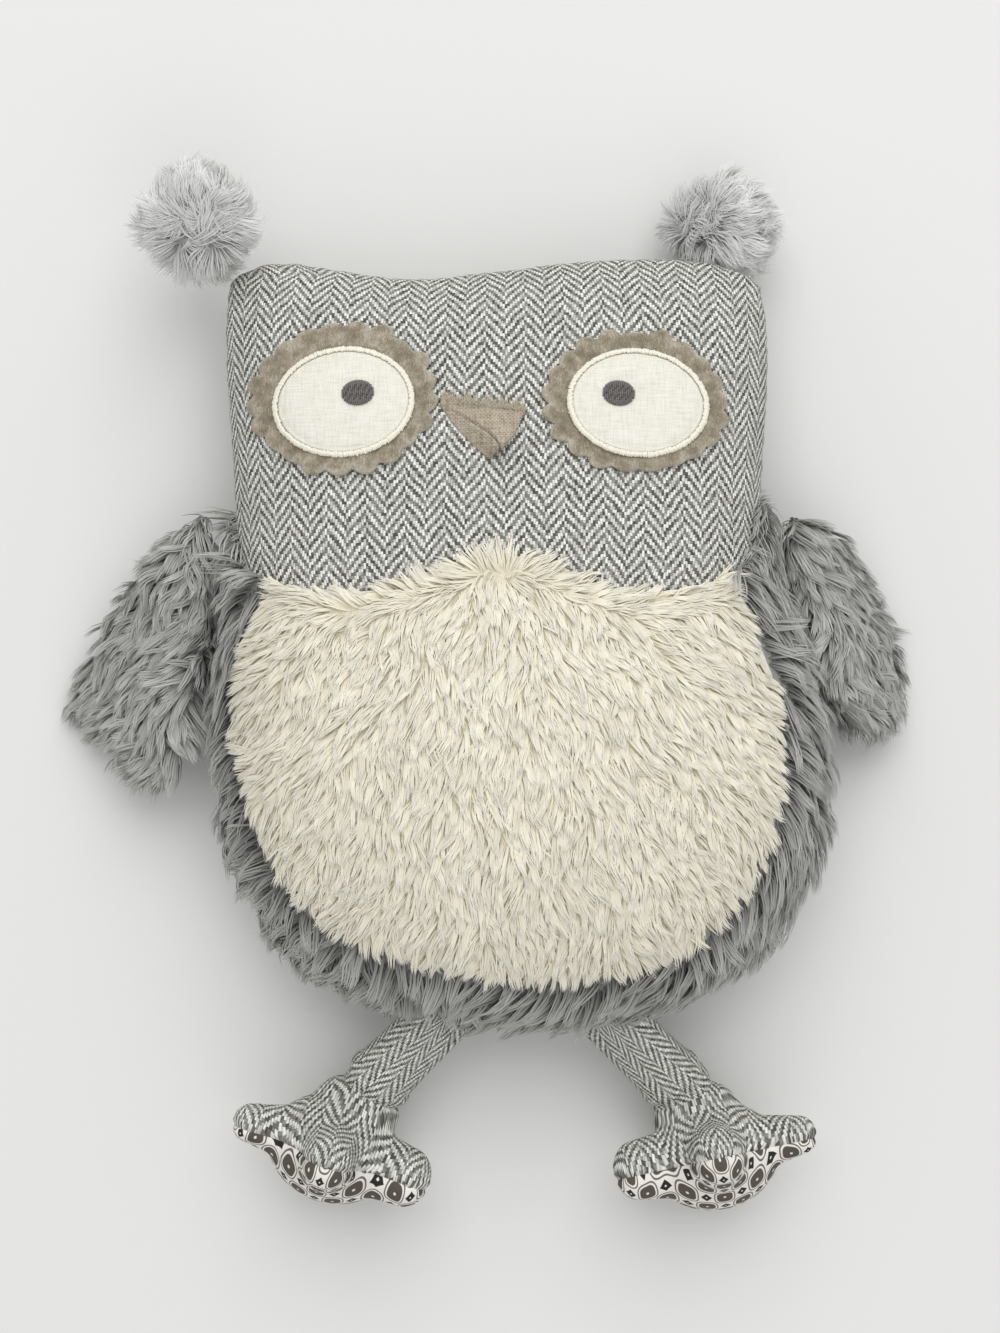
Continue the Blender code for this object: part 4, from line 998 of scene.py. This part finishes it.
def addStitch(vertices, faces, start, end, width, high):
    # One satin stitch: a low rounded bar, tucked in at both ends
    up = Vector((0, 0, 1))
    along = (end - start).normalized()
    across = up.cross(along).normalized()
    first = len(vertices)
    for share, size, rise in (
        (0, 0.45, -0.25), (0.12, 0.9, 0.55), (0.5, 1, 1), (0.88, 0.9, 0.55), (1, 0.45, -0.25),
    ):
        middle = start.lerp(end, share)
        for x, z in ((-1, -0.6), (-0.75, 0.35), (0, 1), (0.75, 0.35), (1, -0.6)):
            lifted = up * high * (z * 0.5 * size + rise * 0.5)
            vertices.append(middle + across * x * width / 2 * size + lifted)
    for ring in range(4):
        for side in range(5):
            following = (side + 1) % 5
            low, above = first + ring * 5, first + ring * 5 + 5
            faces.append((low + side, low + following, above + following, above + side))
    faces.append(tuple(first + k for k in (4, 3, 2, 1, 0)))
    faces.append(tuple(first + 20 + k for k in range(5)))


def buildEye(side, eye, seed):
    random = np.random.default_rng(seed)
    waves = random.normal(0, 1, eyeMake["scallops"])
    thick = eyeMake["feltThick"]

    def edge(angle):
        place = angle / (2 * math.pi) * eyeMake["scallops"]
        bump = abs(math.sin(math.pi * place)) ** 0.9
        jitter = waves[int(place) % eyeMake["scallops"]] * 0.024
        return 1 - eyeMake["scallopDepth"] / eye["feltRadii"][1] * (1 - bump) + jitter * bump

    def wavy(level, amount):
        def lift(angle):
            place = angle / (2 * math.pi) * eyeMake["scallops"]
            bump = abs(math.sin(math.pi * place))
            return thick * level + amount * (bump - 0.6) + 0.0003 * math.sin(angle * 3 + waves[0])
        return lift

    heights = [
        (0.30, thick), (0.55, thick), (0.72, thick), (0.82, wavy(1.0, 0.0002)),
        (0.90, wavy(1.05, 0.0006)), (0.955, wavy(1.08, 0.0009)), (0.985, wavy(0.95, 0.0009)),
        (1.0, wavy(0.60, 0.0008)), (0.995, wavy(0.25, 0.0006)), (0.965, wavy(0.05, 0.0003)),
        (0.90, -0.0003), (0.4, -0.0003),
    ]
    felt = laidOval("eye_felt_" + side + "_cloth", eye["felt"], eye["feltRadii"], eye["tilt"], heights, edge)
    # The cut edge gets a painted highlight, from a little inside it; the last two rings lie underneath
    grainAndEdgeLight = np.zeros(len(felt.data.vertices))
    around = eyeMake["around"]
    for ring, (share, _) in enumerate(heights[:-2]):
        grainAndEdgeLight[ring * around:(ring + 1) * around] = max(0, (share - 0.93) / 0.07)
    felt.data.attributes.new("edge", "FLOAT", "POINT").data.foreach_set("value", grainAndEdgeLight.astype(np.float32))
    tidyNormals(felt)
    dress(felt, feltCloth, "body")
    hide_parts("eye_felt_" + side)

    top = thick + eyeMake["linenThick"]
    linen = laidOval("eye_linen_" + side + "_cloth", eye["linen"], eye["linenRadii"], eye["tilt"], [
        (0.25, top + 0.0004), (0.5, top + 0.0004), (0.75, top + 0.0002), (0.895, top + 0.0001),
        (0.91, top - 0.00012), (0.925, top), (0.99, top - 0.0005), (1.0, thick - 0.0002),
        (0.6, thick - 0.0003),
    ])
    tidyNormals(linen)
    dress(linen, eyeLinen, "body")
    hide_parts("eye_linen_" + side)

    turn = Matrix.Rotation(math.radians(eye["tilt"]), 2)
    vertices, faces = [], []
    for k in range(eyeMake["stitches"]):
        angle = 2 * math.pi * (k + 0.25 * random.random()) / eyeMake["stitches"]
        ends = []
        for reach in (-0.0006, eyeMake["stitchLong"] - 0.0006):
            reach += random.normal(0, 0.00012)
            flat = turn @ Vector(((eye["linenRadii"][0] + reach) * math.cos(angle),
                                  (eye["linenRadii"][1] + reach) * math.sin(angle)))
            lift = top + 0.0001 if reach < 0 else thick + 0.0005
            ends.append(onHead(eye["linen"][0] + flat.x, eye["linen"][1] + flat.y, lift))
        addStitch(vertices, faces, *ends, eyeMake["stitchWide"], eyeMake["stitchHigh"])
    rim = addMesh("eye_rim_" + side + "_stitches", vertices, faces)
    tidyNormals(rim)
    dress(rim, rimThread, "body")
    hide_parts("eye_rim_" + side)

    vertices, faces = [], []
    wide, high = eyeMake["pupilRadii"]
    columns = eyeMake["pupilColumns"]
    for column in range(columns):
        x = -wide + (column + 0.5) * 2 * wide / columns
        tall = high * math.sqrt(max(0, 1 - (x / wide) ** 2))
        # A long column is three stitches, broken in another place each time
        breaks = [-tall, -tall / 3 + 0.0009 * (column % 3 - 1),
                  tall / 3 + 0.0009 * ((column + 1) % 3 - 1), tall]
        if tall < high * 0.55:
            breaks = [-tall, tall]
        for low, up in zip(breaks, breaks[1:]):
            ends = [turn @ Vector((x, y)) for y in (low - 0.00015, up + 0.00015)]
            places = [onHead(eye["pupil"][0] + e.x, eye["pupil"][1] + e.y, top + 0.0006) for e in ends]
            addStitch(vertices, faces, *places, 2 * wide / columns * 1.2, eyeMake["pupilStitchHigh"])
    pupil = addMesh("pupil_" + side + "_stitches", vertices, faces)
    tidyNormals(pupil)
    dress(pupil, pupilThread, "body")
    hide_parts("pupil_" + side)


for side, seed in (("left", 21), ("right", 22)):
    buildEye(side, eyes[side], seed)


# Beak
print("beak")
beak = {
    # The flap's corners, and the raw edge of cloth above the line it is sewn on
    "left": (-0.0229, 0.1030), "right": (0.0066, 0.1002), "tipLeft": (-0.0058, 0.0838),
    "tipRight": (-0.0012, 0.0853), "hemLeft": (-0.0219, 0.1066), "hemRight": (0.0075, 0.1022),
    "hemThick": 0.0011, "hemAcross": 40, "hemDown": 6, "frays": 260, "frayWide": 0.00032,
    "sewnLift": 0.0016, "rise": 0.0078, "thick": 0.0034, "bow": 0.0011, "across": 40, "down": 26,
}


def closedSheet(name, columns, rows, upper, lower):
    # A sheet with two faces, each a grid of places, closed all round
    vertices = [
        face(i / columns, j / rows)
        for face in (upper, lower) for j in range(rows + 1) for i in range(columns + 1)
    ]
    count = (columns + 1) * (rows + 1)
    faces = []
    for j in range(rows):
        for i in range(columns):
            a = j * (columns + 1) + i
            quad = (a, a + columns + 1, a + columns + 2, a + 1)
            faces += [quad, tuple(count + k for k in reversed(quad))]
    rim = [*range(columns + 1), *(j * (columns + 1) + columns for j in range(1, rows + 1))]
    rim += [rows * (columns + 1) + i for i in range(columns - 1, -1, -1)]
    rim += [j * (columns + 1) for j in range(rows - 1, 0, -1)]
    faces += [(a, b, count + b, count + a) for a, b in zip(rim, rim[1:] + rim[:1])]
    piece = addMesh(name, vertices, faces)
    tidyNormals(piece)
    return piece


def buildBeak():
    random = np.random.default_rng(31)
    left, right, tipLeft, tipRight, hemLeft, hemRight = (
        Vector(beak[k]) for k in ("left", "right", "tipLeft", "tipRight", "hemLeft", "hemRight"))
    rumple = random.normal(0, 1, 6)

    def flatAt(s, t):
        edge = left.lerp(tipLeft, t).lerp(right.lerp(tipRight, t), s)
        return edge + Vector((beak["bow"] * math.sin(math.pi * t) * (2 * s - 1 - 0.2 * (1 - s)), 0))

    def upper(s, t):
        # The left side is folded under along a line that curves to the tip, so it faces away
        fold = 0.06 + 0.80 * t
        full = beak["sewnLift"] + beak["rise"] * t ** 1.1
        lift = full
        if s < fold:
            lift = full * (0.10 + 0.90 * (s / fold) ** 1.2)
        lift -= 0.0016 * max(0, (s - 0.80) / 0.20) ** 2 * min(1, t * 3)
        lift -= 0.0024 * math.exp(-((s - fold + 0.026) / 0.018) ** 2) * min(1, t * 5)
        lift += 0.0005 * math.exp(-((s - fold - 0.03) / 0.04) ** 2) * min(1, t * 5)
        for k, size in enumerate(rumple):
            wave = math.sin((k + 2) * 2.3 * s + (k % 3 + 1) * 3.4 * t + k)
            lift += 0.00016 * size * wave * math.sin(math.pi * s)
        flat = flatAt(s, t)
        return onHead(flat.x, flat.y, lift)

    def lower(s, t):
        flat = flatAt(s, t)
        body = 0.0009 + beak["thick"] * math.sin(math.pi * s) ** 0.7 * t ** 0.6 * (1.25 - t)
        return upper(s, t) - Vector((0, 0, body))

    flap = closedSheet("beak_cloth", beak["across"], beak["down"], upper, lower)
    modify(flap, "SMOOTH", factor=0.5, iterations=1)
    dress(flap, beakLinen, "beak")
    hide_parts("beak")
    ragged = random.normal(0, 1, 9)

    def hemUpper(s, t):
        edge = hemLeft.lerp(hemRight, s)
        waves = sum(size * math.sin((k + 2) * 5.3 * s + k) for k, size in enumerate(ragged[:5]))
        uneven = 0.00035 * waves * (1 - t)
        flat = edge.lerp(left.lerp(right, s) - Vector((0, 0.0006)), t) + Vector((0, uneven))
        puff = beak["hemThick"] * (0.55 + 0.45 * math.sin(math.pi * min(1, 0.15 + t * 0.85)))
        return onHead(flat.x, flat.y, puff + 0.00018 * math.sin(s * 31 + 2 * ragged[6]) * (1 - t))

    hem = closedSheet("beak_hem", beak["hemAcross"], beak["hemDown"], hemUpper,
                      lambda s, t: hemUpper(s, t) - Vector((0, 0, beak["hemThick"])))
    dress(hem, beakLinen, "body")
    # Threads come loose along the raw edge, and along the sewn line below it
    starts, ways = [], []
    for k in range(beak["frays"]):
        s, t = random.random(), 0.75 * random.random() ** 2
        starts.append(hemUpper(s, t))
        reach = 0.0010 + 0.0014 * random.random()
        aside, onward = random.normal(0, 0.0011), reach * (1 if random.random() < 0.8 else -0.6)
        ways.append((aside, onward, random.normal(0.0003, 0.0004)))
    starts, ways, arch = np.array(starts), np.array(ways), np.array([[0, 0, 0.0006]])
    lines = np.array([starts + ways * t + arch * math.sin(t * 3) for t in (0, 0.35, 0.7, 1)])
    ups = np.tile(np.array([[0.0, 0.0, 1.0]]), (len(starts), 1))
    fringe = strandMesh("beak_fringe", lines, ups, beak["frayWide"], random.random(len(starts)), random)
    dress(fringe, beakFringe, "body")


# Its first colour, at the root, is darkened as painted shade
beakFringe = makePile("frayed linen", ("#A89C88", "#C2B8A5", "#DAD2C3"), 0.85)
buildBeak()


# Pompom ears
print("pompoms")
pompoms = {
    "left": {"shift": (0.0018, -0.0044, 0.0), "gather": (0.15, -0.25, 1.0), "lean": (0.25, 0.55, 0.0)},
    "right": {"shift": (0.0, -0.0040, 0.0), "gather": (-0.5, 0.1, 0.5), "lean": (0.75, -0.10, 0.15)},
}
pompomMake = {"groundRadius": 0.0132, "pile": {
    "count": 9000, "length": 0.0100, "lift": 0.62, "width": 0.00056, "strandsALock": 14, "rings": 3,
    "lockStray": 0.35, "strandStray": 0.22, "curl": 0.10, "gather": 0.45, "swirl": 0.7, "crush": 0.026,
}}


def buildPompom(side, pompom, seed):
    low, high = (Vector(corner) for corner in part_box("pompom_cover_" + side))
    centre = (low + high) / 2 + Vector(pompom["shift"])
    pick()
    bpy.ops.mesh.primitive_uv_sphere_add(
        segments=48, ring_count=24, radius=pompomMake["groundRadius"], location=centre)
    ground = bpy.context.object
    ground.name = "pompom_backing_" + side
    bpy.ops.object.transform_apply(location=True, rotation=True, scale=True)
    points = pointsOf(ground)
    ways = (points - np.array(centre)) / pompomMake["groundRadius"]
    gather = np.array(Vector(pompom["gather"]).normalized())
    near = np.clip((ways @ gather - 0.75) / 0.25, 0, 1) ** 1.5
    lumps = 0.0008 * np.sin(ways[:, 0] * 7 + 1) * np.sin(ways[:, 1] * 6 + 2)
    setPoints(ground, points + ways * (lumps - 0.004 * near)[:, None])
    bpy.ops.object.shade_smooth()
    dress(ground, paleGround, "pompom_" + side)
    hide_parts("pompom_cover_" + side, "pompom_stuffing_" + side)

    def flow(roots, ups):
        away = ups - gather[None] * (ups @ gather)[:, None]
        return unit(away) + np.array([pompom["lean"]]) + 0.001

    growPile(
        "pompom_pile_" + side, ground, pompomMake["pile"], flow, lambda at, up: np.ones(len(at)),
        palePile, "pompom_" + side, seed,
        # Painted shade: strands darken towards the gathered dimple where the pompom is tied
        lambda roots: -1.5 * np.clip((unit(roots - np.array(centre)) @ gather - 0.66) / 0.2, 0, 1),
    )


for side, seed in (("left", 41), ("right", 42)):
    buildPompom(side, pompoms[side], seed)
    threadMaterials = frame["nodes"]["pompom_thread_" + side].data.materials
    threadMaterials.clear()
    threadMaterials.append(tackThread)


# Wings
print("wings")
wings = {
    "left": {"out": (-0.992, 0.128, 0), "flow": (-0.42, -0.90, -0.10)},
    "right": {"out": (0.964, 0.264, 0), "flow": (0.36, -0.93, -0.10)},
}
wingMake = {
    "inset": 0.0034, "voxel": 0.0026, "rootReach": 0.0060, "rootLong": 0.012, "bendIn": 0.004, "bendOut": 0.010,
    "pile": {
        "count": 10000, "length": 0.0122, "lift": 0.42, "width": 0.00084, "strandsALock": 12, "rings": 3,
        "lockStray": 0.34, "strandStray": 0.12, "curl": 0.13, "gather": 0.60, "swirl": 0.85, "crush": 0.034,
    },
}


def buildWing(side, wing, seed):
    ground = startFrom("wing_backing_" + side, "wing_top_panel_" + side, "wing_under_panel_" + side)
    modify(ground, "REMESH", mode="VOXEL", voxel_size=wingMake["voxel"], use_smooth_shade=True)
    modify(ground, "SMOOTH", factor=0.5, iterations=6)
    modify(ground, "DISPLACE", strength=-wingMake["inset"], mid_level=0)
    root, out = jointAt("wing_fold_" + side), Vector(wing["out"])
    # The root runs on into the body's own cloth
    points = pointsOf(ground)
    off = (points - np.array(root)) @ np.array(out)
    reach = wingMake["rootReach"] * np.clip(1 - off / wingMake["rootLong"], 0, 1) ** 2
    setPoints(ground, points - np.array(out) * reach[:, None])
    dress(ground, greyGround, None)
    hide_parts("wing_top_panel_" + side, "wing_under_panel_" + side)
    made = growPile(
        "wing_pile_" + side, ground, wingMake["pile"],
        lambda roots, ups: np.tile(np.array([wing["flow"]], float), (len(roots), 1)),
        lambda at, up: np.where(up[:, 2] > -0.2, 1.0, 0.45), greyPile, None, seed,
    )
    for piece in (ground, *made):
        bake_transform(piece)


for side, seed in (("left", 51), ("right", 52)):
    buildWing(side, wings[side], seed)


# Legs and feet
print("legs and feet")
legMake = {
    "coverOut": 0.0024, "radius": 0.0152, "intoBody": 0.0200, "intoFoot": 0.0040, "flare": 0.20,
    "endNarrow": 0.32, "toMiddle": 0.26, "foldHigh": 0.0006, "foldLong": 0.006, "foldTurns": 900,
    "bendIn": 0.003, "bendOut": 0.012,
}


def buildLeg(side):
    hip, ankle = jointAt("hip_" + side), jointAt("ankle_" + side)
    leg = startFrom("leg_cover_" + side, "leg_stuffing_" + side)
    modify(leg, "SUBSURF", levels=2, render_levels=2)
    modify(leg, "DISPLACE", strength=legMake["coverOut"], mid_level=0)
    along = (ankle - hip).normalized()
    wide = (Vector((1, 0, 0)) - along * along.x).normalized()
    deep = along.cross(wide)
    # Soft folds across the tube where it bends to the foot
    points, normals = pointsOf(leg), normalsOf(leg)
    down = (points - np.array(hip)) @ np.array(along)
    length = (ankle - hip).length
    fold = legMake["foldHigh"] * np.exp(-((down - length * 0.78) / legMake["foldLong"]) ** 2)
    fold *= np.sin(down * legMake["foldTurns"])
    points += normals * fold[:, None]
    # It widens to the foot, and both ends run on into what they are sewn to
    wider = (points - np.array(hip)) @ np.array(wide) * legMake["flare"]
    wider *= np.clip(down / length - 0.25, 0, 0.75)
    slide = legMake["intoFoot"] * np.clip((down - length + 0.004) / 0.010, 0, 1)
    slide -= legMake["intoBody"] * np.clip(1 - down / 0.012, 0, 1)
    points += np.array(wide) * wider[:, None] + np.array(along) * slide[:, None]
    # The foot's cover takes its end in, narrowed and drawn to the middle of the foot
    late = np.clip((down - length + 0.010) / 0.014, 0, 1)[:, None]
    late = late * late * (3 - 2 * late)
    middle = np.array(hip) + np.array(along) * ((points - np.array(hip)) @ np.array(along))[:, None]
    points += (middle - points) * legMake["endNarrow"] * late
    points += np.array(seamFrame(side)[0] - ankle) * legMake["toMiddle"] * late
    setPoints(leg, points)
    mesh = leg.data
    layer = mesh.uv_layers.new(name="weave")
    # Each face keeps to one turn round the leg, so that none spans the whole cloth
    for face in mesh.polygons:
        middle = face.center - hip
        facing = math.atan2(middle.dot(wide), middle.dot(deep))
        for loop in face.loop_indices:
            at = mesh.vertices[mesh.loops[loop].vertex_index].co - hip
            turn = math.atan2(at.dot(wide), at.dot(deep)) - facing
            turn = facing + math.remainder(turn, 2 * math.pi)
            layer.data[loop].uv = (turn * legMake["radius"], at.dot(along))
    mesh.polygons.foreach_set("use_smooth", [True] * len(mesh.polygons))
    dress(leg, tweedCloth, None)
    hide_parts("leg_skin_" + side, "leg_stuffing_" + side)
    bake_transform(leg)


footMake = {
    "voxel": 0.0017, "pad": {"pressure": 3.0, "frames": 10, "maxMove": 0.0010}, "middleOfToes": 0.0118,
    "roundness": 0.008, "seamDeep": 0.0009, "seamDown": 0.0018,
    # Lumps of stuffing: where, and how far across, towards the toes and up, all in mm
    "body": ((0, 5, -0.5), (24, 24, 19.5)),
    "innerToe": ((12, 8, 0), (12, 10, 13), (29.5, 15, 0), (8.5, 8.5, 11)),
    "outerToe": ((12, 8, 1), (10, 8, 11), (31.5, 17, 0.5), (6.4, 6.2, 7.4)),
    "middleToe": ((0, 14, -1), (14, 12, 15), (0, 35, -1), (9.2, 9, 10.5)),
    "lumpsAToe": 7, "neckDown": 0.36, "neckSize": (16.5, 15.5, 13), "evened": 70,
}


def seamFrame(side):
    # The foot's middle, and which way lie its width, its toes and its top, from the seam round it
    upper = np.array([v.co for v in frame["nodes"]["foot_top_" + side].data.vertices])
    lower = [v.co for v in frame["nodes"]["foot_sole_" + side].data.vertices]
    finder = KDTree(len(lower))
    for k, point in enumerate(lower):
        finder.insert(point, k)
    finder.balance()
    rim = np.array([p for p in upper if finder.find(Vector(p))[2] < 0.0008])
    middle = rim.mean(axis=0)
    up = np.linalg.svd(rim - middle, full_matrices=False)[2][2]
    if up @ (upper.mean(axis=0) - middle) < 0:
        up = -up
    up = Vector(up)
    toes = (Vector((0, 0, 1)) - up * up.z).normalized()
    across = toes.cross(up)
    reach = [(rim - middle) @ np.array(way) for way in (across, toes)]
    centre = Vector(middle) + across * (reach[0].max() + reach[0].min()) / 2
    centre += toes * ((reach[1].max() + reach[1].min()) / 2 - footMake["middleOfToes"])
    return centre, across, toes, up


def layFlat(piece, across, toes, up):
    # The panel's own millimetres, as it lay flat before it was sewn: where it turns down to the
    # seam, a quarter round of the foot's thickness takes more cloth than it covers
    points, normals = pointsOf(piece), normalsOf(piece)
    flat = np.stack([points @ np.array(across), points @ np.array(toes)], axis=1)
    aside = np.stack([normals @ np.array(across), normals @ np.array(toes)], axis=1)
    turned = np.arccos(np.clip(normals @ np.array(up), -0.3, 1))
    slack = unit(aside) * (footMake["roundness"] * (turned - np.sin(turned)))[:, None]
    # The cloth evens that out between the toes
    mesh = piece.data
    ends = np.empty(len(mesh.edges) * 2, int)
    mesh.edges.foreach_get("vertices", ends)
    ends = ends.reshape(-1, 2)
    shared = np.bincount(ends.ravel(), minlength=len(points))[:, None]
    for _ in range(footMake["evened"]):
        total = np.zeros_like(slack)
        np.add.at(total, ends[:, 0], slack[ends[:, 1]])
        np.add.at(total, ends[:, 1], slack[ends[:, 0]])
        slack = total / np.maximum(shared, 1)
    flat += slack
    corners = np.empty(len(mesh.loops), int)
    mesh.loops.foreach_get("vertex_index", corners)
    mesh.uv_layers.new(name="weave").data.foreach_set("uv", flat[corners].ravel())


def buildFoot(side):
    centre, across, toes, up = seamFrame(side)
    turn = Matrix((across, toes, up)).transposed()
    outward = -1 if side == "right" else 1
    lumps = [(footMake["body"][0], footMake["body"][1])]
    for toe, way in (("innerToe", -outward), ("outerToe", outward), ("middleToe", 1)):
        fromAt, fromSize, toAt, toSize = (Vector(v) for v in footMake[toe])
        for k in range(footMake["lumpsAToe"]):
            share = k / (footMake["lumpsAToe"] - 1)
            at = fromAt.lerp(toAt, share)
            lumps.append((Vector((at.x * way, at.y, at.z)), fromSize.lerp(toSize, share)))
    # The neck of the foot, round the end of the leg
    neck = turn.transposed() @ ((jointAt("ankle_" + side) - centre) * (1 - footMake["neckDown"])) * 1000
    lumps.append((neck, footMake["neckSize"]))
    pieces = []
    for at, size in lumps:
        pick()
        bpy.ops.mesh.primitive_uv_sphere_add(
            segments=32, ring_count=16, radius=0.001, location=centre + turn @ Vector(at) * 0.001,
            rotation=turn.to_euler(), scale=size)
        pieces.append(bpy.context.object)
    pick(*pieces)
    bpy.ops.object.join()
    bpy.ops.object.transform_apply(location=True, rotation=True, scale=True)
    foot = bpy.context.object
    foot.name = "foot_" + side
    modify(foot, "REMESH", mode="VOXEL", voxel_size=footMake["voxel"], use_smooth_shade=True)
    modify(foot, "SMOOTH", factor=0.5, iterations=7)
    plump(foot, footMake["pad"])
    modify(foot, "SUBSURF", levels=1, render_levels=1)
    seamAt = centre - up * footMake["seamDown"]
    for name, keepUp, material, slot in (
        ("foot_top_cover_" + side, True, tweedCloth, "tweed"),
        ("foot_sole_cover_" + side, False, solePrint, "sole_print"),
    ):
        piece = copyOf(foot, name)
        layFlat(piece, across, toes, up if keepUp else -up)
        # The seam draws both panels in
        points, normals = pointsOf(piece), normalsOf(piece)
        off = (points - np.array(seamAt)) @ np.array(up)
        points -= normals * (footMake["seamDeep"] * np.exp(-(off / 0.0011) ** 2))[:, None]
        points[:, 2] = np.maximum(points[:, 2], 0.0004)
        setPoints(piece, points)
        pick(piece)
        bpy.ops.object.mode_set(mode="EDIT")
        bpy.ops.mesh.select_all(action="SELECT")
        bpy.ops.mesh.bisect(
            plane_co=seamAt, plane_no=up, clear_inner=keepUp, clear_outer=not keepUp, use_fill=True)
        bpy.ops.object.mode_set(mode="OBJECT")
        dress(piece, material, "foot_" + side)
    bpy.data.objects.remove(foot)
    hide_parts("foot_top_" + side, "foot_stuffing_" + side)
    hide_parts("foot_sole_" + side)


for side in ("left", "right"):
    buildLeg(side)
    buildFoot(side)

bpy.data.objects.remove(stuffed)
pick()

print("owl is dressed")
